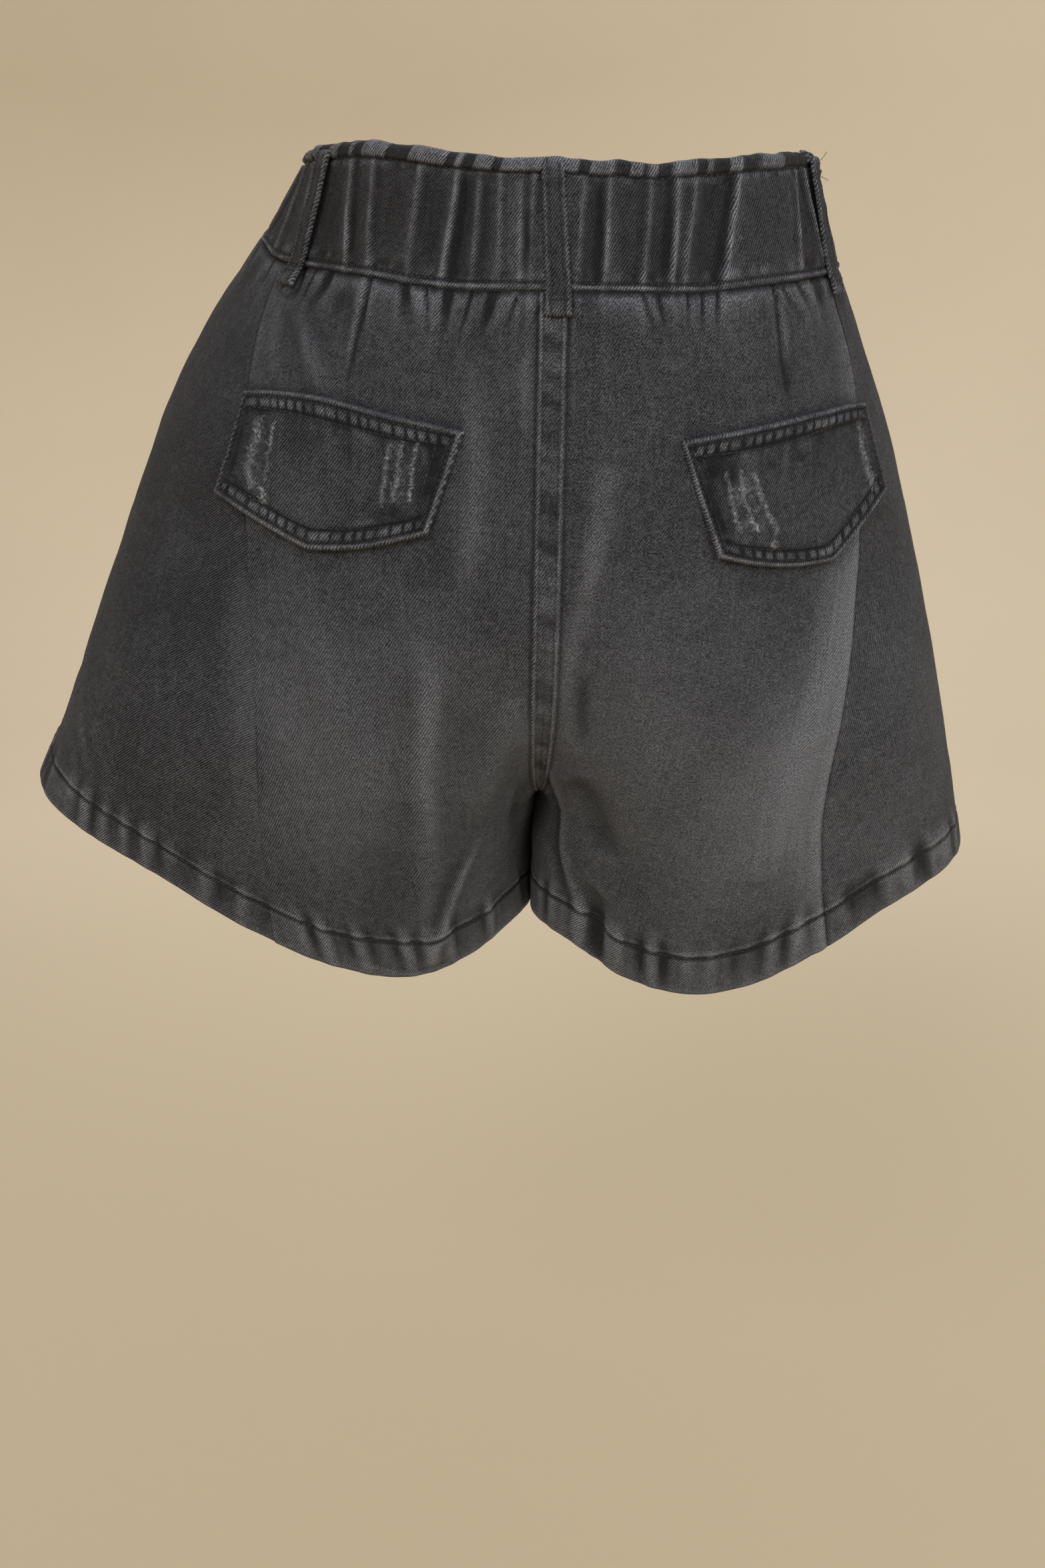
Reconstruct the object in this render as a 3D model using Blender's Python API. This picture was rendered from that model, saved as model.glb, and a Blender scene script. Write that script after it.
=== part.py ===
"""Denim shorts with a gathered elastic waist, built from the pieces a maker would cut and sew.

Metres, +Z up. The wearer faces -Y, so the back is at +Y and the wearer's left is at +X. The
origin is the middle of the waist's top edge, where the wearer's waist holds the garment.
"""

import functools
import math

import bpy
import numpy as np

COLLECTION = "denim_shorts"

# Cloth
CLOTH = 0.0018              # one layer of denim with its finish
HEM_CLOTH = 0.0034          # the hem's turned-up layers
BAND_CLOTH = 0.0026         # the waistband, two layers round its elastic
FLAP_CLOTH = 0.0020
LOOP_CLOTH = 0.0018
SEAM_GAP = 0.0003           # between two pieces at their seam
WAIST_GAP = 0.0004          # between the band and the panels
LAID_GAP = 0.0005           # under a piece that lies on another

# Main sizes
PANEL_LENGTH = 0.378        # down the centre back, from the waist seam to the hem's edge
HEM_DOWN = 0.926            # the hem is turned up to here, 28 mm above its edge
CROTCH_DOWN = 0.78          # parts of the panel's length
WAIST_FADE = 1.3            # how fast the rows level out below the waist seam
SEAT_DOWN = 0.42            # where the back seam starts to curve under
FRONT_SEAT_DOWN = 0.36
SEAM_GROOVE = 0.988         # the centre seams lie a little inside the seat's curve
LEG_GAP = (0.0012, 0.0030)  # half the space between the legs, at the crotch and at the hem
INSEAM_Y = -0.004
SEAM_X = (0.004, 0.011)     # the centre seams' place, at the waist and at the hem
EVENED = (0.50, 0.96)       # parts of the length where the crotch's turn under the body is evened
EVEN_ROWS = 41
EVEN_PART = 0.5             # of the way from a centre seam to the side, the rows ease into it

# The body's sections: how far down, depth behind and before the middle, roundness of the plan
SECTIONS = (
    ("down", "back_depth", "front_depth", "squareness"),
    (0.00, 0.106, 0.098, 2.00),
    (0.10, 0.116, 0.104, 2.00),
    (0.22, 0.125, 0.108, 2.05),
    (0.40, 0.130, 0.109, 2.15),
    (0.60, 0.125, 0.104, 2.35),
    (0.80, 0.114, 0.094, 2.45),
    (1.00, 0.104, 0.086, 2.30),
)

# Each half's sections: reach to the side, where it is widest, the side seam, the leg's depth
LEFT_HALF = (
    ("down", "reach", "widest_y", "side_seam_x", "depth_change"),
    (0.00, 0.165, -0.035, 0.147, 0.000),
    (0.10, 0.188, -0.030, 0.158, 0.000),
    (0.22, 0.211, -0.024, 0.164, 0.000),
    (0.40, 0.236, -0.018, 0.162, 0.000),
    (0.60, 0.259, -0.012, 0.160, 0.000),
    (0.78, 0.281, -0.007, 0.162, 0.000),
    (0.92, 0.298, -0.002, 0.161, -0.002),
    (1.00, 0.310, 0.000, 0.160, -0.004),
)
RIGHT_HALF = (
    ("down", "reach", "widest_y", "side_seam_x", "depth_change"),
    (0.00, 0.154, -0.010, 0.143, 0.000),
    (0.10, 0.167, -0.010, 0.152, 0.000),
    (0.22, 0.182, -0.010, 0.158, 0.000),
    (0.40, 0.201, -0.008, 0.158, 0.000),
    (0.60, 0.217, -0.005, 0.150, 0.000),
    (0.78, 0.231, -0.002, 0.144, 0.000),
    (0.92, 0.242, 0.000, 0.149, 0.003),
    (1.00, 0.248, 0.000, 0.154, 0.004),
)

# Heights of the band's top, the waist seam and the hem, from the centre back (0) round to the
# centre front (1)
LEFT_LEVELS = (
    ("around", "waist_z", "hem_z", "top_z"),
    (0.00, -0.0630, -0.440, -0.002),
    (0.05, -0.0630, -0.437, -0.002),
    (0.11, -0.0630, -0.444, -0.001),
    (0.17, -0.0615, -0.446, 0.001),
    (0.22, -0.0590, -0.434, 0.003),
    (0.28, -0.0570, -0.409, 0.004),
    (0.35, -0.0555, -0.376, 0.003),
    (0.42, -0.0530, -0.355, 0.002),
    (0.50, -0.0460, -0.345, -0.001),
    (0.60, -0.0415, -0.350, -0.003),
    (0.75, -0.0450, -0.386, -0.006),
    (0.90, -0.0520, -0.426, -0.008),
    (1.00, -0.0540, -0.440, -0.008),
)
RIGHT_LEVELS = (
    ("around", "waist_z", "hem_z", "top_z"),
    (0.00, -0.0630, -0.440, -0.002),
    (0.06, -0.0633, -0.434, -0.004),
    (0.10, -0.0637, -0.435, -0.005),
    (0.15, -0.0643, -0.446, -0.005),
    (0.20, -0.0640, -0.450, -0.004),
    (0.25, -0.0625, -0.442, -0.003),
    (0.30, -0.0615, -0.422, -0.002),
    (0.36, -0.0605, -0.396, -0.001),
    (0.42, -0.0600, -0.386, 0.000),
    (0.50, -0.0590, -0.388, -0.003),
    (0.62, -0.0570, -0.400, -0.006),
    (0.78, -0.0550, -0.426, -0.008),
    (0.90, -0.0540, -0.438, -0.008),
    (1.00, -0.0540, -0.440, -0.008),
)

# The band's top ring (reach, widest_y), and the crests of its gathers: where each lies on the
# half ring at the band's middle, how far its foot is from its head, and the depth of the trough
# after it
BAND_TOP = {"left": (0.132, 0.000), "right": (0.134, 0.000)}
BAND_TOP_DEPTHS = (0.0955, 0.0920)
LEFT_GATHERS = (
    ("around", "lean", "trough"),
    (0.000, 0.000, 0.0000),
    (0.028, 0.002, 0.0024),
    (0.040, -0.003, 0.0002),
    (0.068, -0.005, 0.0026),
    (0.098, -0.001, 0.0034),
    (0.131, 0.004, 0.0030),
    (0.181, -0.006, 0.0024),
    (0.246, -0.030, 0.0016),
    (0.284, -0.034, 0.0030),
    (0.376, -0.040, 0.0014),
    (0.430, 0.000, 0.0030),
    (0.500, 0.004, 0.0000),
)
RIGHT_GATHERS = (
    ("around", "lean", "trough"),
    (0.000, 0.000, 0.0000),
    (0.033, -0.018, 0.0034),
    (0.065, -0.017, 0.0022),
    (0.116, -0.028, 0.0034),
    (0.152, -0.025, 0.0014),
    (0.172, -0.040, 0.0044),
    (0.232, -0.055, 0.0010),
    (0.351, -0.045, 0.0024),
    (0.392, 0.006, 0.0028),
    (0.430, 0.004, 0.0012),
    (0.500, 0.000, 0.0000),
)
SEWN_PART = 0.42            # how deep the gathers stay where they are sewn down
HOLLOW_ROUNDING = 0.8       # under 1 the troughs are wide and the crests sharp
FREE_ROUNDING = 0.6         # under 1 the gathers deepen fast away from the stitching
FRILL_PART = 0.11           # of the band's height, above its upper stitching
STITCH_PINCH = 0.0007
GATHER_PART = 0.9           # of the gathers' depth goes on into the panels
GATHER_REACH = 0.030

# The darts of the back panels: from the centre back at the seam and at the point, and length
DARTS = {"left": (0.097, 0.107, 0.057), "right": (0.118, 0.128, 0.064)}
DART_DEPTH = 0.0012
DART_HALF_WIDTH = 0.004
FELL_WIDTH = 0.0062         # half the centre seam's felled band
FELL_HEIGHT = 0.0008
FELL_EDGE = 0.0007

SEAM_EASE = 0.018           # folds fade out this near to the centre seam and the inseam

# The large folds. Columns: from_side_1, down_1, from_side_2, down_2 (from one point to another,
# in metres from the side seam and from the waist seam), half_width, height (- is a trough)
FOLD_TAPER = 0.5
FOLDS = {
    "back_panel_left": (
        (0.096, 0.165, 0.090, 0.245, 0.009, 0.0030),
        (0.086, 0.240, 0.093, 0.372, 0.009, 0.0040),
        (0.077, 0.255, 0.059, 0.372, 0.018, -0.0030),
        (0.137, 0.200, 0.123, 0.285, 0.009, 0.0030),
        (0.145, 0.232, 0.167, 0.318, 0.008, -0.0030),
        (0.112, 0.180, 0.114, 0.262, 0.010, -0.0020),
        (0.022, 0.015, 0.063, 0.062, 0.007, 0.0020),
        (0.024, 0.130, 0.070, 0.300, 0.014, 0.0030),
    ),
    "back_panel_right": (
        (0.157, 0.080, 0.158, 0.150, 0.008, 0.0026),
        (0.147, 0.190, 0.137, 0.236, 0.005, -0.0018),
        (0.143, 0.262, 0.123, 0.306, 0.012, -0.0045),
        (0.095, 0.200, 0.117, 0.300, 0.020, 0.0020),
        (0.131, 0.330, 0.137, 0.378, 0.009, -0.0055),
        (0.016, 0.140, 0.013, 0.235, 0.013, 0.0040),
        (0.013, 0.225, 0.037, 0.310, 0.014, 0.0040),
    ),
    "front_panel_left": (
        (0.209, 0.000, 0.400, 0.200, 0.015, 0.0035),
        (0.149, 0.000, 0.358, 0.260, 0.020, 0.0045),
        (0.190, 0.010, 0.372, 0.220, 0.014, -0.0035),
        (0.092, 0.010, 0.324, 0.300, 0.022, 0.0035),
        (0.432, 0.190, 0.452, 0.290, 0.015, 0.0024),
        (0.465, 0.225, 0.468, 0.330, 0.014, -0.0020),
    ),
    "front_panel_right": (
        (0.192, 0.000, 0.327, 0.180, 0.014, 0.0030),
        (0.127, 0.000, 0.297, 0.240, 0.018, 0.0035),
        (0.166, 0.010, 0.314, 0.210, 0.014, -0.0030),
        (0.373, 0.185, 0.390, 0.280, 0.015, 0.0024),
        (0.404, 0.220, 0.413, 0.320, 0.014, -0.0020),
    ),
}

# The flaps' corners on the back panels: name, from the centre back, down from the waist seam
FLAPS = {
    "left": (
        ("inner_top", 0.043, 0.065),
        ("middle_top", 0.111, 0.058),
        ("outer_top", 0.171, 0.069),
        ("inner_bottom", 0.060, 0.113),
        ("point", 0.123, 0.129),
        ("outer_bottom", 0.182, 0.124),
    ),
    "right": (
        ("inner_top", 0.065, 0.069),
        ("middle_top", 0.117, 0.064),
        ("outer_top", 0.190, 0.073),
        ("inner_bottom", 0.085, 0.123),
        ("point", 0.152, 0.139),
        ("outer_bottom", 0.198, 0.122),
    ),
}
FLAP_LIFT = 0.0030          # the flap's free edge stands off the panel

# Belt loops: the half, where the head and the foot are on the half ring, and width
LOOPS = (
    ("name", "half", "head_around", "foot_around", "width"),
    ("belt_loop_back", "left", 0.002, -0.006, 0.0120),
    ("belt_loop_left", "left", 0.362, 0.352, 0.0120),
    ("belt_loop_right", "right", 0.430, 0.405, 0.0120),
    ("belt_loop_front_left", "left", 0.800, 0.800, 0.0120),
    ("belt_loop_front_right", "right", 0.800, 0.800, 0.0120),
)
LOOP_FOOT_DOWN = 0.011      # below the waist seam

HALVES = {
    "left": {"sign": 1.0, "sections": LEFT_HALF, "levels": LEFT_LEVELS, "gathers": LEFT_GATHERS},
    "right": {"sign": -1.0, "sections": RIGHT_HALF, "levels": RIGHT_LEVELS, "gathers": RIGHT_GATHERS},
}
OTHER = {"left": "right", "right": "left"}

DENIM = (0.055, 0.056, 0.060)
WORN_DENIM = (0.062, 0.063, 0.067)
ROUGHNESS = 0.85

PANEL_ROWS = (0, 0.03, 0.08, 0.15, 0.23, 0.31, 0.39, 0.47, 0.55, 0.62, 0.68, 0.73, 0.77, 0.80,
              0.86, 0.915, 0.935, 1.0)
BAND_ROWS = (0, FRILL_PART, 0.30, 0.62, 0.90, 1.0)
BACK_COLUMNS = (8, 9)       # from the felled seam to the dart, and from there to the side seam
FRONT_COLUMNS = 31
BAND_COLUMNS = {"back": 104, "front": 88}
NEARBY = 0.004              # of a ring's or a panel's length, to measure its slope
FLAP_GRID = ((8, 7), 6)     # columns to the point and beyond it, and rows
LOOP_ROWS = (0.05, 0.14, 0.35, 0.55, 0.75, 0.92, 1.00, 1.18)  # the last lies on the panel
LOOP_COLUMNS_ACROSS = 3


def smooth(table, name, places):
    """Reads a table's named column at these places of its first column, on a smooth curve."""
    rows = np.array(table[1:])
    x, y = rows[:, 0], rows[:, table[0].index(name)]
    steps = np.diff(x)
    slopes = np.diff(y) / steps
    tangents = np.empty_like(y)
    tangents[1:-1] = (slopes[:-1] * steps[1:] + slopes[1:] * steps[:-1]) / (steps[1:] + steps[:-1])
    tangents[0], tangents[-1] = slopes[0], slopes[-1]
    at = np.clip(np.asarray(places, float), x[0], x[-1])
    i = np.clip(np.searchsorted(x, at, side="right") - 1, 0, len(x) - 2)
    t = (at - x[i]) / steps[i]
    start = y[i] * (1 + 2 * t) * (1 - t) ** 2 + tangents[i] * steps[i] * t * (1 - t) ** 2
    end = y[i + 1] * (3 - 2 * t) * t**2 - tangents[i + 1] * steps[i] * (1 - t) * t**2
    return start + end


def centre_x(down):
    return SEAM_X[0] + (SEAM_X[1] - SEAM_X[0]) * down


def rise_ratio(down, seat):
    """How deep the centre seam still lies, as a part of the section's depth."""
    below = np.clip((down - seat) / (CROTCH_DOWN - seat), 0.0, 1.0)
    return SEAM_GROOVE * math.sqrt(1.0 - below**2)


def plan(sign, middle, reach, widest_y, depths, square, ratios, inner, samples):
    """A half ring in plan, from the centre back round the side to the centre front."""
    reach -= sign * middle
    arcs = []
    for depth, ratio in zip(depths, ratios):
        cut = (1 - ratio**square) ** (1 / square)
        radius = (reach - inner) / (1 + cut)
        last = math.acos(-(cut ** (square / 2)))
        turn = np.linspace(0, last, samples)
        wave = np.cos(turn)
        out = reach - radius + radius * np.sign(wave) * np.abs(wave) ** (2 / square)
        arcs.append((out, depth * np.abs(np.sin(turn)) ** (2 / square)))
    (back_out, back_deep), (front_out, front_deep) = arcs
    out = np.concatenate([back_out[::-1], front_out[1:]])
    deep = np.concatenate([back_deep[::-1], -front_deep[1:]])
    return middle + sign * out, INSEAM_Y + (widest_y - INSEAM_Y) * out / reach + deep


@functools.cache
def half_plan(half, down, samples=240):
    """The panels' half ring at one distance down, with how far along it each point is."""
    table = HALVES[half]["sections"]
    reach = float(smooth(table, "reach", down))
    widest_y = float(smooth(table, "widest_y", down))
    change = float(smooth(table, "depth_change", down))
    back = float(smooth(SECTIONS, "back_depth", down))
    front = float(smooth(SECTIONS, "front_depth", down))
    square = float(smooth(SECTIONS, "squareness", down))
    inner = SEAM_GAP / 2
    if down > CROTCH_DOWN:
        opened = (down - CROTCH_DOWN) / (1 - CROTCH_DOWN)
        inner = LEG_GAP[0] + (LEG_GAP[1] - LEG_GAP[0]) * opened
    depths = (back + change - INSEAM_Y, front + change + INSEAM_Y)
    ratios = (rise_ratio(down, SEAT_DOWN), rise_ratio(down, FRONT_SEAT_DOWN))
    sign = HALVES[half]["sign"]
    x, y = plan(sign, centre_x(down), reach, widest_y, depths, square, ratios, inner, samples)
    return x, y, lengths_along(x, y)


@functools.cache
def band_top_plan(half, samples=240):
    reach, widest_y = BAND_TOP[half]
    depths = (BAND_TOP_DEPTHS[0] - INSEAM_Y, BAND_TOP_DEPTHS[1] + INSEAM_Y)
    sign = HALVES[half]["sign"]
    x, y = plan(sign, centre_x(0), reach, widest_y, depths, 2.0, (1.0, 1.0), 0.0, samples)
    return x, y, lengths_along(x, y)


def lengths_along(x, y):
    return np.concatenate([[0.0], np.cumsum(np.hypot(np.diff(x), np.diff(y)))])


@functools.cache
def side_seam_around(half, down):
    """The side seam's place on the half ring, from 0 at the centre back to 1 at the front."""
    x, _, lengths = half_plan(half, down)
    seam_x = float(smooth(HALVES[half]["sections"], "side_seam_x", down))
    widest = int(np.argmax(np.abs(x)))
    place = np.interp(seam_x, np.abs(x[: widest + 1]), lengths[: widest + 1])
    return float(place / lengths[-1])


@functools.cache
def even_lengths(half):
    """Lengths from the side seam to the centre back and front, evened out round the crotch."""
    downs = np.linspace(0, 1, EVEN_ROWS)
    seams = np.array([side_seam_around(half, down) for down in downs])
    lengths = np.array([half_plan(half, down)[2][-1] for down in downs])
    kept = (downs <= EVENED[0]) | (downs >= EVENED[1])
    back = np.interp(downs, downs[kept], (lengths * seams)[kept])
    front = np.interp(downs, downs[kept], (lengths * (1 - seams))[kept])
    return downs, back, front


def even_around(half, down, around):
    """Where points would lie on the half ring if the crotch didn't turn under the body."""
    downs, back, front = even_lengths(half)
    back, front = np.interp(down, downs, back), np.interp(down, downs, front)
    length, seam = half_plan(half, down)[2][-1], side_seam_around(half, down)
    on_back = np.asarray(around) < seam
    part = np.where(on_back, around / seam, (1 - around) / (1 - seam))
    ratio = np.where(on_back, seam * length / back, (1 - seam) * length / front)
    share = np.clip(part / EVEN_PART, 0, 1)
    share = share**2 * (3 - 2 * share)
    part = part + share * (1 - part) * (1 - ratio)
    even_seam = back / (back + front)
    return np.where(on_back, part * even_seam, 1 - part * (1 - even_seam))


def level(half, down, around):
    """The height of the panels' points."""
    table = HALVES[half]["levels"]
    even = even_around(half, down, around)
    waist, hem = smooth(table, "waist_z", even), smooth(table, "hem_z", even)
    waist_back = smooth(table, "waist_z", 0)
    kept = max(0.0, 1.0 - down / CROTCH_DOWN) ** WAIST_FADE
    return waist_back + kept * (waist - waist_back) + down * (hem - waist_back)


def panel_base(half, down, around):
    """The panels' smooth outside, before folds."""
    x, y, lengths = half_plan(half, down)
    at = np.asarray(around) * lengths[-1]
    place = (np.interp(at, lengths, x), np.interp(at, lengths, y), level(half, down, around))
    return np.stack(place, axis=-1)


def band_base(half, height, around):
    """The band's smooth outside over its crests; height goes from 0 at the top to 1."""
    x, y, lengths = band_top_plan(half)
    at = np.asarray(around) * lengths[-1]
    top_z = smooth(HALVES[half]["levels"], "top_z", around)
    top = np.stack([np.interp(at, lengths, x), np.interp(at, lengths, y), top_z], axis=-1)
    foot = panel_base(half, 0.0, around)
    foot[:, 2] += WAIST_GAP / 2
    return top + (foot - top) * height


def outward(base, half, along, around):
    """Unit directions out of a smooth surface, from points a little to each side."""
    ahead = base(half, along, np.clip(around + NEARBY, 0, 1))
    behind = base(half, along, np.clip(around - NEARBY, 0, 1))
    above = base(half, max(along - NEARBY, 0), around)
    below = base(half, min(along + NEARBY, 1), around)
    normals = np.cross(ahead - behind, below - above) * HALVES[half]["sign"]
    return normals / np.linalg.norm(normals, axis=-1, keepdims=True)


@functools.cache
def gather_rows(half):
    """The half's crests from the back to the front, whose own are the other half's, turned."""
    back = HALVES[half]["gathers"][1:]
    front = HALVES[OTHER[half]]["gathers"][:0:-1]
    rows = list(back[:-1])
    for row, following in zip(front, front[1:]):
        rows.append((1 - row[0], -row[1], following[2]))
    rows.append((1.0, 0.0, 0.0))
    return np.array(rows)


def gather_depth(half, height, around):
    """How far the band's cloth lies inside its crests."""
    rows = gather_rows(half)
    crests = rows[:, 0] + rows[:, 1] * (height - 0.5)
    i = np.clip(np.searchsorted(crests, around, side="right") - 1, 0, len(crests) - 2)
    t = (around - crests[i]) / (crests[i + 1] - crests[i])
    hollow = np.sin(math.pi * np.clip(t, 0, 1)) ** HOLLOW_ROUNDING
    below_frill = min(max((height - FRILL_PART) / (1 - FRILL_PART), 0), 1)
    free = math.sin(math.pi * below_frill) ** FREE_ROUNDING
    return rows[i, 2] * hollow * (SEWN_PART + (1 - SEWN_PART) * free)


def fold_lift(rows, from_side, down):
    """The sum of the soft ridges and troughs at these places on a panel."""
    lift = np.zeros_like(from_side)
    for side_1, down_1, side_2, down_2, half_width, height in rows:
        run = np.array([side_2 - side_1, down_2 - down_1])
        t = ((from_side - side_1) * run[0] + (down - down_1) * run[1]) / (run @ run)
        t = np.clip(t, 0, 1)
        off = np.hypot(from_side - side_1 - t * run[0], down - down_1 - t * run[1])
        lift += height * np.exp(-((off / half_width) ** 2)) * (4 * t * (1 - t)) ** FOLD_TAPER
    return lift


def dart_from_back(half, down):
    head, point, length = DARTS[half]
    return head + (point - head) * min(down / length, 1.0)


def panel_form(half, down, around):
    """How far folds and gathers lift the panels off their smooth form."""
    around = np.asarray(around)
    length = half_plan(half, down)[2][-1]
    past_seam = (around - side_seam_around(half, down)) * length
    down_m = down * PANEL_LENGTH
    lift = fold_lift(FOLDS["back_panel_" + half], -past_seam, down_m)
    lift += fold_lift(FOLDS["front_panel_" + half], past_seam, down_m)
    lift *= np.clip(np.minimum(around, 1 - around) * length / SEAM_EASE, 0, 1)
    fade = math.exp(-down_m / GATHER_REACH)
    return lift - GATHER_PART * fade * gather_depth(half, 1.0, around)


def panel_relief(half, down, around):
    """What the dart and the felled centre seam add on the outside."""
    across = np.asarray(around) * half_plan(half, down)[2][-1]
    down_m = down * PANEL_LENGTH
    depth = DART_DEPTH * max(0.0, 1 - down_m / DARTS[half][2])
    off = np.abs(across - dart_from_back(half, down_m)) / DART_HALF_WIDTH
    relief = -depth * np.clip(1 - off, 0, 1)
    if down < CROTCH_DOWN:
        relief += FELL_HEIGHT * (across < FELL_WIDTH + FELL_EDGE / 2)
    return relief


def back_columns(half, down):
    """Places on the half ring of a back panel's columns, closest by the felled seam and dart."""
    length = half_plan(half, down)[2][-1]
    gap = SEAM_GAP / 2 / length
    first = gap if down > CROTCH_DOWN else 0.0
    seam = side_seam_around(half, down)
    dart_down = min(down * PANEL_LENGTH, DARTS[half][2])
    beside = dart_down / PANEL_LENGTH
    seam_beside = side_seam_around(half, beside) * half_plan(half, beside)[2][-1]
    dart = seam * dart_from_back(half, dart_down) / seam_beside
    side = DART_HALF_WIDTH / length
    fell = FELL_WIDTH / length
    inner = np.linspace(fell + FELL_EDGE / length, dart - side, BACK_COLUMNS[0] + 1)
    outer = np.linspace(dart + side, seam - gap, BACK_COLUMNS[1] + 1)
    return np.concatenate([[first, fell], inner, [dart], outer])


def front_columns(half, down):
    gap = SEAM_GAP / 2 / half_plan(half, down)[2][-1]
    last = 1 - gap if down > CROTCH_DOWN else 1.0
    return np.linspace(side_seam_around(half, down) + gap, last, FRONT_COLUMNS + 1)


def turned_flat(directions, axis):
    """The same directions without their part along one axis, for edges that meet at a seam."""
    flat = directions.copy()
    flat[:, axis] = 0
    return flat / np.linalg.norm(flat, axis=-1, keepdims=True)


def panel_walls(half, columns):
    """Outside and inside points of a panel, row by row."""
    outside, inside = [], []
    for down in PANEL_ROWS:
        around = columns(half, down)
        base = panel_base(half, down, around)
        directions = outward(panel_base, half, down, around)
        if down == 0:
            base[:, 2] -= WAIST_GAP / 2
            directions = turned_flat(directions, 2)
        at_edge = np.minimum(around, 1 - around) < NEARBY / 4
        across_seam = 0 if down < CROTCH_DOWN else 1
        directions[at_edge] = turned_flat(directions[at_edge], across_seam)
        form = panel_form(half, down, around)
        relief = panel_relief(half, down, around)
        cloth = HEM_CLOTH if down > HEM_DOWN else CLOTH
        outside.append(base + directions * (form + relief)[:, None])
        inside.append(base + directions * (form - cloth)[:, None])
    return np.array(outside), np.array(inside)


def on_ring(make, along, places):
    """A half ring's values all round: places go from -1 on the right half to 1 on the left."""
    left = make("left", along, np.clip(places, 0, 1))
    right = make("right", along, np.clip(-places, 0, 1))
    share = (np.sign(places) + 1) / 2
    share = share.reshape(share.shape + (1,) * (left.ndim - 1))
    return left * share + right * (1 - share)


def band_directions(half, height, around):
    directions = outward(band_base, half, height, around)
    return turned_flat(directions, 2) if height >= 1 else directions


def band_walls(face):
    seam_left, seam_right = (side_seam_around(half, 0) for half in ("left", "right"))
    gap = SEAM_GAP / 2 / half_plan("left", 0)[2][-1]
    count = BAND_COLUMNS[face] + 1
    if face == "back":
        places = np.linspace(-seam_right + gap, seam_left - gap, count)
    else:
        turned = np.linspace(seam_left + gap, 2 - seam_right - gap, count)
        places = np.where(turned > 1, turned - 2, turned)
    outside, inside = [], []
    for height in BAND_ROWS:
        base = on_ring(band_base, height, places)
        directions = on_ring(band_directions, height, places)
        form = -on_ring(gather_depth, height, places)
        if height == FRILL_PART:
            form -= STITCH_PINCH
        outside.append(base + directions * form[:, None])
        inside.append(base + directions * (form - BAND_CLOTH)[:, None])
    return np.array(outside), np.array(inside)


def flap_walls(half):
    """A flap's outside and inside points, laid over its panel."""
    corner = {name: np.array(place) for name, *place in FLAPS[half]}
    (to_point, beyond), rows = FLAP_GRID
    across = np.concatenate([np.linspace(0, 0.5, to_point + 1), np.linspace(0.5, 1, beyond + 1)[1:]])
    t = across[:, None]
    middle = 2 * corner["middle_top"] - (corner["inner_top"] + corner["outer_top"]) / 2
    top = (1 - t) ** 2 * corner["inner_top"] + 2 * t * (1 - t) * middle + t**2 * corner["outer_top"]
    first = corner["inner_bottom"] + 2 * t * (corner["point"] - corner["inner_bottom"])
    second = corner["point"] + (2 * t - 1) * (corner["outer_bottom"] - corner["point"])
    bottom = np.where(t <= 0.5, first, second)
    outside, inside = [], []
    for v in np.linspace(0, 1, rows + 1):
        places = top + (bottom - top) * v
        under, over = [], []
        for from_back, down_m in places:
            down = down_m / PANEL_LENGTH
            around = np.array([from_back / half_plan(half, down)[2][-1]])
            base = panel_base(half, down, around)[0]
            direction = outward(panel_base, half, down, around)[0]
            lift = panel_form(half, down, around)[0] + LAID_GAP + FLAP_LIFT * v**2
            under.append(base + direction * lift)
            over.append(base + direction * (lift + FLAP_CLOTH))
        outside.append(over)
        inside.append(under)
    return np.array(outside), np.array(inside)


def panel_directions(half, down, around):
    return outward(panel_base, half, down, around)


def loop_walls(head, foot, width):
    """A belt loop's outside and inside points, from near the band's top to below its seam."""
    half_width = width / 2 / half_plan("left", 0)[2][-1]
    across = np.linspace(-half_width, half_width, LOOP_COLUMNS_ACROSS + 1)
    outside, inside = [], []
    for height in LOOP_ROWS:
        places = head + (foot - head) * min(height, 1) + across
        if height <= 1:
            base = on_ring(band_base, height, places)
            directions = on_ring(band_directions, height, places)
        else:
            base = on_ring(panel_base, LOOP_FOOT_DOWN / PANEL_LENGTH, places)
            directions = on_ring(panel_directions, LOOP_FOOT_DOWN / PANEL_LENGTH, places)
        lift = LAID_GAP + (FELL_HEIGHT if height >= 1 else 0.0)
        inside.append(base + directions * lift)
        outside.append(base + directions * (lift + LOOP_CLOTH))
    return np.array(outside), np.array(inside)


def wall_faces(rows, columns):
    """Quads of a closed wall: an outside grid, an inside grid after it, and four rims."""
    def at(row, column, inside=0):
        return (inside * rows + row) * columns + column

    faces = []
    for row in range(rows - 1):
        for column in range(columns - 1):
            faces.append((at(row, column), at(row, column + 1),
                          at(row + 1, column + 1), at(row + 1, column)))
            faces.append((at(row, column, 1), at(row + 1, column, 1),
                          at(row + 1, column + 1, 1), at(row, column + 1, 1)))
    last_row, last_column = rows - 1, columns - 1
    for column in range(last_column):
        faces.append((at(0, column + 1), at(0, column), at(0, column, 1), at(0, column + 1, 1)))
        faces.append((at(last_row, column), at(last_row, column + 1),
                      at(last_row, column + 1, 1), at(last_row, column, 1)))
    for row in range(last_row):
        faces.append((at(row + 1, 0), at(row + 1, 0, 1), at(row, 0, 1), at(row, 0)))
        faces.append((at(row + 1, last_column), at(row, last_column),
                      at(row, last_column, 1), at(row + 1, last_column, 1)))
    return faces


def material(name, colour, roughness):
    made = bpy.data.materials.new(name)
    made.use_nodes = True
    shader = made.node_tree.nodes["Principled BSDF"]
    shader.inputs["Base Color"].default_value = (*colour, 1.0)
    shader.inputs["Roughness"].default_value = roughness
    shader.inputs["Metallic"].default_value = 0.0
    return made


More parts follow.
